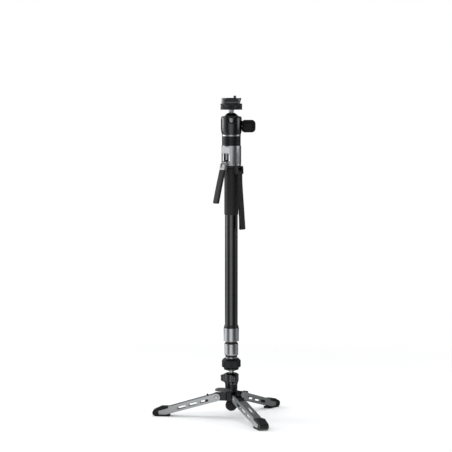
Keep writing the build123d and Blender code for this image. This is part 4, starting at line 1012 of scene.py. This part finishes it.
def makeStudioGroup():
    # the level of the studio wall in the direction of a place round the column, from its azimuth
    group, given = newGroup("studioField", dict(Vector="Vector"), dict(Level="Float"))
    place = splitOf(group, given["Vector"])
    azimuth = mathNode(group, "ARCTAN2", place["X"], mathNode(group, "MULTIPLY", place["Y"], -1.0))
    share = mapRange(group, azimuth, -pi, pi)
    ramp = addNode(group, "ShaderNodeValToRGB", {"Fac": share})
    ramp.color_ramp.interpolation = "EASE"
    stops = ramp.color_ramp.elements
    for degrees, level in studioField[1:-1]:
        stops.new((degrees + 180) / 360).color = (level, level, level, 1)
    for stop, level in ((stops[0], studioField[0][1]), (stops[-1], studioField[-1][1])):
        stop.color = (level, level, level, 1)
    addNode(group, "NodeGroupOutput", {"Level": ramp.outputs["Color"]})
    return group


studioGroup = makeStudioGroup()


def addGlow(tree, color, strength):
    return addNode(tree, "ShaderNodeEmission", {"Color": color, "Strength": strength}).outputs[0]


def studioGlow(tree):
    place = addNode(tree, "ShaderNodeTexCoord").outputs["Object"]
    return addGlow(tree, daylight, placeGroup(tree, studioGroup, {"Vector": place})["Level"])


def floorGlow(tree, place, away):
    # beside the feet metal sees plain paper as a painted glow, brighter in front and darker behind
    # as painted shade, and further out the studio field
    n = nearFloor
    level = mapRange(tree, splitOf(tree, place)["Y"], n["front"], n["back"], n["frontLevel"],
                     n["backLevel"])
    share = mapRange(tree, away, n["inner"], n["outer"], kind="SMOOTHSTEP")
    return mixShaders(tree, share, addGlow(tree, white, level), studioGlow(tree))


def lightPathMix(tree, first, second):
    # the first for plain diffuse light, the second for the camera, a mirror or clear glass; what it
    # lights isn't sampled as a lamp, because a lamp's rays would see the first alone
    path = addNode(tree, "ShaderNodeLightPath").outputs
    direct = mathNode(tree, "MAXIMUM", path["Is Camera Ray"], path["Is Glossy Ray"])
    seen = mathNode(tree, "MAXIMUM", direct, path["Is Transmission Ray"])
    return mixShaders(tree, seen, first, second)


def buildWorld():
    world = bpy.data.worlds.new("studio")
    bpy.context.scene.world = world
    world.use_nodes = True
    tree = world.node_tree
    fill = tree.nodes["Background"]
    feed(tree, fill, {"Color": skylight, "Strength": levels["fill"]})
    seen = addNode(tree, "ShaderNodeBackground", {"Color": white, "Strength": levels["seen"]})
    both = lightPathMix(tree, fill.outputs[0], seen.outputs[0])
    feed(tree, tree.nodes["World Output"], {"Surface": both})
    world.cycles.sampling_method = "NONE"


def floorPaper(tree):
    # the middle takes the shadow, the outer part fades into the white background, and metal sees
    # the studio in it
    place = addNode(tree, "ShaderNodeTexCoord").outputs["Object"]
    away = addNode(tree, "ShaderNodeVectorMath", {0: place}, operation="LENGTH").outputs["Value"]
    paper = addNode(tree, "ShaderNodeBsdfDiffuse", {"Color": paperGrey}).outputs[0]
    fade = mapRange(tree, away, stage["clear"], stage["fade"], kind="SMOOTHSTEP")
    blended = mixShaders(tree, fade, paper, addGlow(tree, white, 1.0))
    seen = lightPathMix(tree, paper, blended)
    mirror = addNode(tree, "ShaderNodeLightPath").outputs["Is Glossy Ray"]
    return mixShaders(tree, mirror, seen, floorGlow(tree, place, away))


def stageSheet(name, points, faces, shaderOf, onlyMirrored=True):
    # a sheet of the studio with its own shader; all but the floor are seen by reflections only
    mesh = bpy.data.meshes.new(name)
    mesh.from_pydata(np.array(points).tolist(), [], np.array(faces).tolist())
    material, tree, shader = newMaterial(name)
    tree.nodes.remove(shader)
    feed(tree, tree.nodes["Material Output"], {"Surface": shaderOf(tree)})
    mesh.materials.append(material)
    sheet = addObject(name, mesh)
    if onlyMirrored:
        sheet.visible_camera = sheet.visible_diffuse = False
        sheet.visible_shadow = sheet.visible_transmission = False
    else:
        material.cycles.emission_sampling = "NONE"


def onCircle(turn, reach, height):
    # a turn of 0 is towards the camera and a quarter turn towards the knob
    return joined(reach * np.sin(turn), -reach * np.cos(turn), np.full(len(turn), height))


def buildStage():
    size = stage["floor"]
    stageSheet("floor", [(-size, -size, 0), (size, -size, 0), (size, size, 0), (-size, size, 0)],
               [(0, 1, 2, 3)], floorPaper, False)
    foot = onCircle(fullTurn(96), stage["wallReach"], 0.001)
    wall = np.vstack([foot, foot + np.array([0, 0, stage["wallHeight"]])])
    stageSheet("studioWall", wall, gridFaces(2, 96, False, True), studioGlow)
    for panel in panels:
        turn = np.radians(panel["azimuth"] + np.linspace(-panel["half"], panel["half"], 9))
        reach = stage["wallReach"] - stage["panelGap"]
        sheet = np.vstack([onCircle(turn, reach, panel[end]) for end in ("low", "high")])
        stageSheet(panel["name"], sheet, gridFaces(2, 9),
                   lambda tree: addGlow(tree, daylight, panel["level"]))
    rim = onCircle(fullTurn(64), stage["wallReach"] + 0.01, stage["wallHeight"])
    stageSheet("ceiling", rim, [range(64)],
               lambda tree: addGlow(tree, daylight, levels["ceiling"]))


def buildLamps():
    for lamp in lamps:
        light = bpy.data.lights.new(lamp["name"], "AREA")
        light.shape = "RECTANGLE"
        light.size, light.size_y = lamp["size"]
        light.energy = lamp["power"]
        thing = addObject(lamp["name"], light)
        turn = radians(lamp["azimuth"])
        reach = lamp["reach"]
        thing.location = (sin(turn) * reach, -cos(turn) * reach, lamp["height"])
        thing.rotation_euler = (lampAim - thing.location).to_track_quat("-Z", "Y").to_euler()
        thing.visible_glossy = False


def buildCamera():
    data = bpy.data.cameras.new("camera")
    data.lens = view["lens"]
    data.sensor_width = view["sensor"]
    data.clip_end = 60
    camera = addObject("camera", data)
    camera.location = (view["aside"], -view["distance"], view["height"])
    camera.rotation_euler = (radians(90 - view["down"]), 0, 0)
    bpy.context.scene.camera = camera


buildWorld()
buildStage()
buildLamps()
buildCamera()
bpy.context.scene.view_settings.view_transform = "Standard"

print("scene ready")
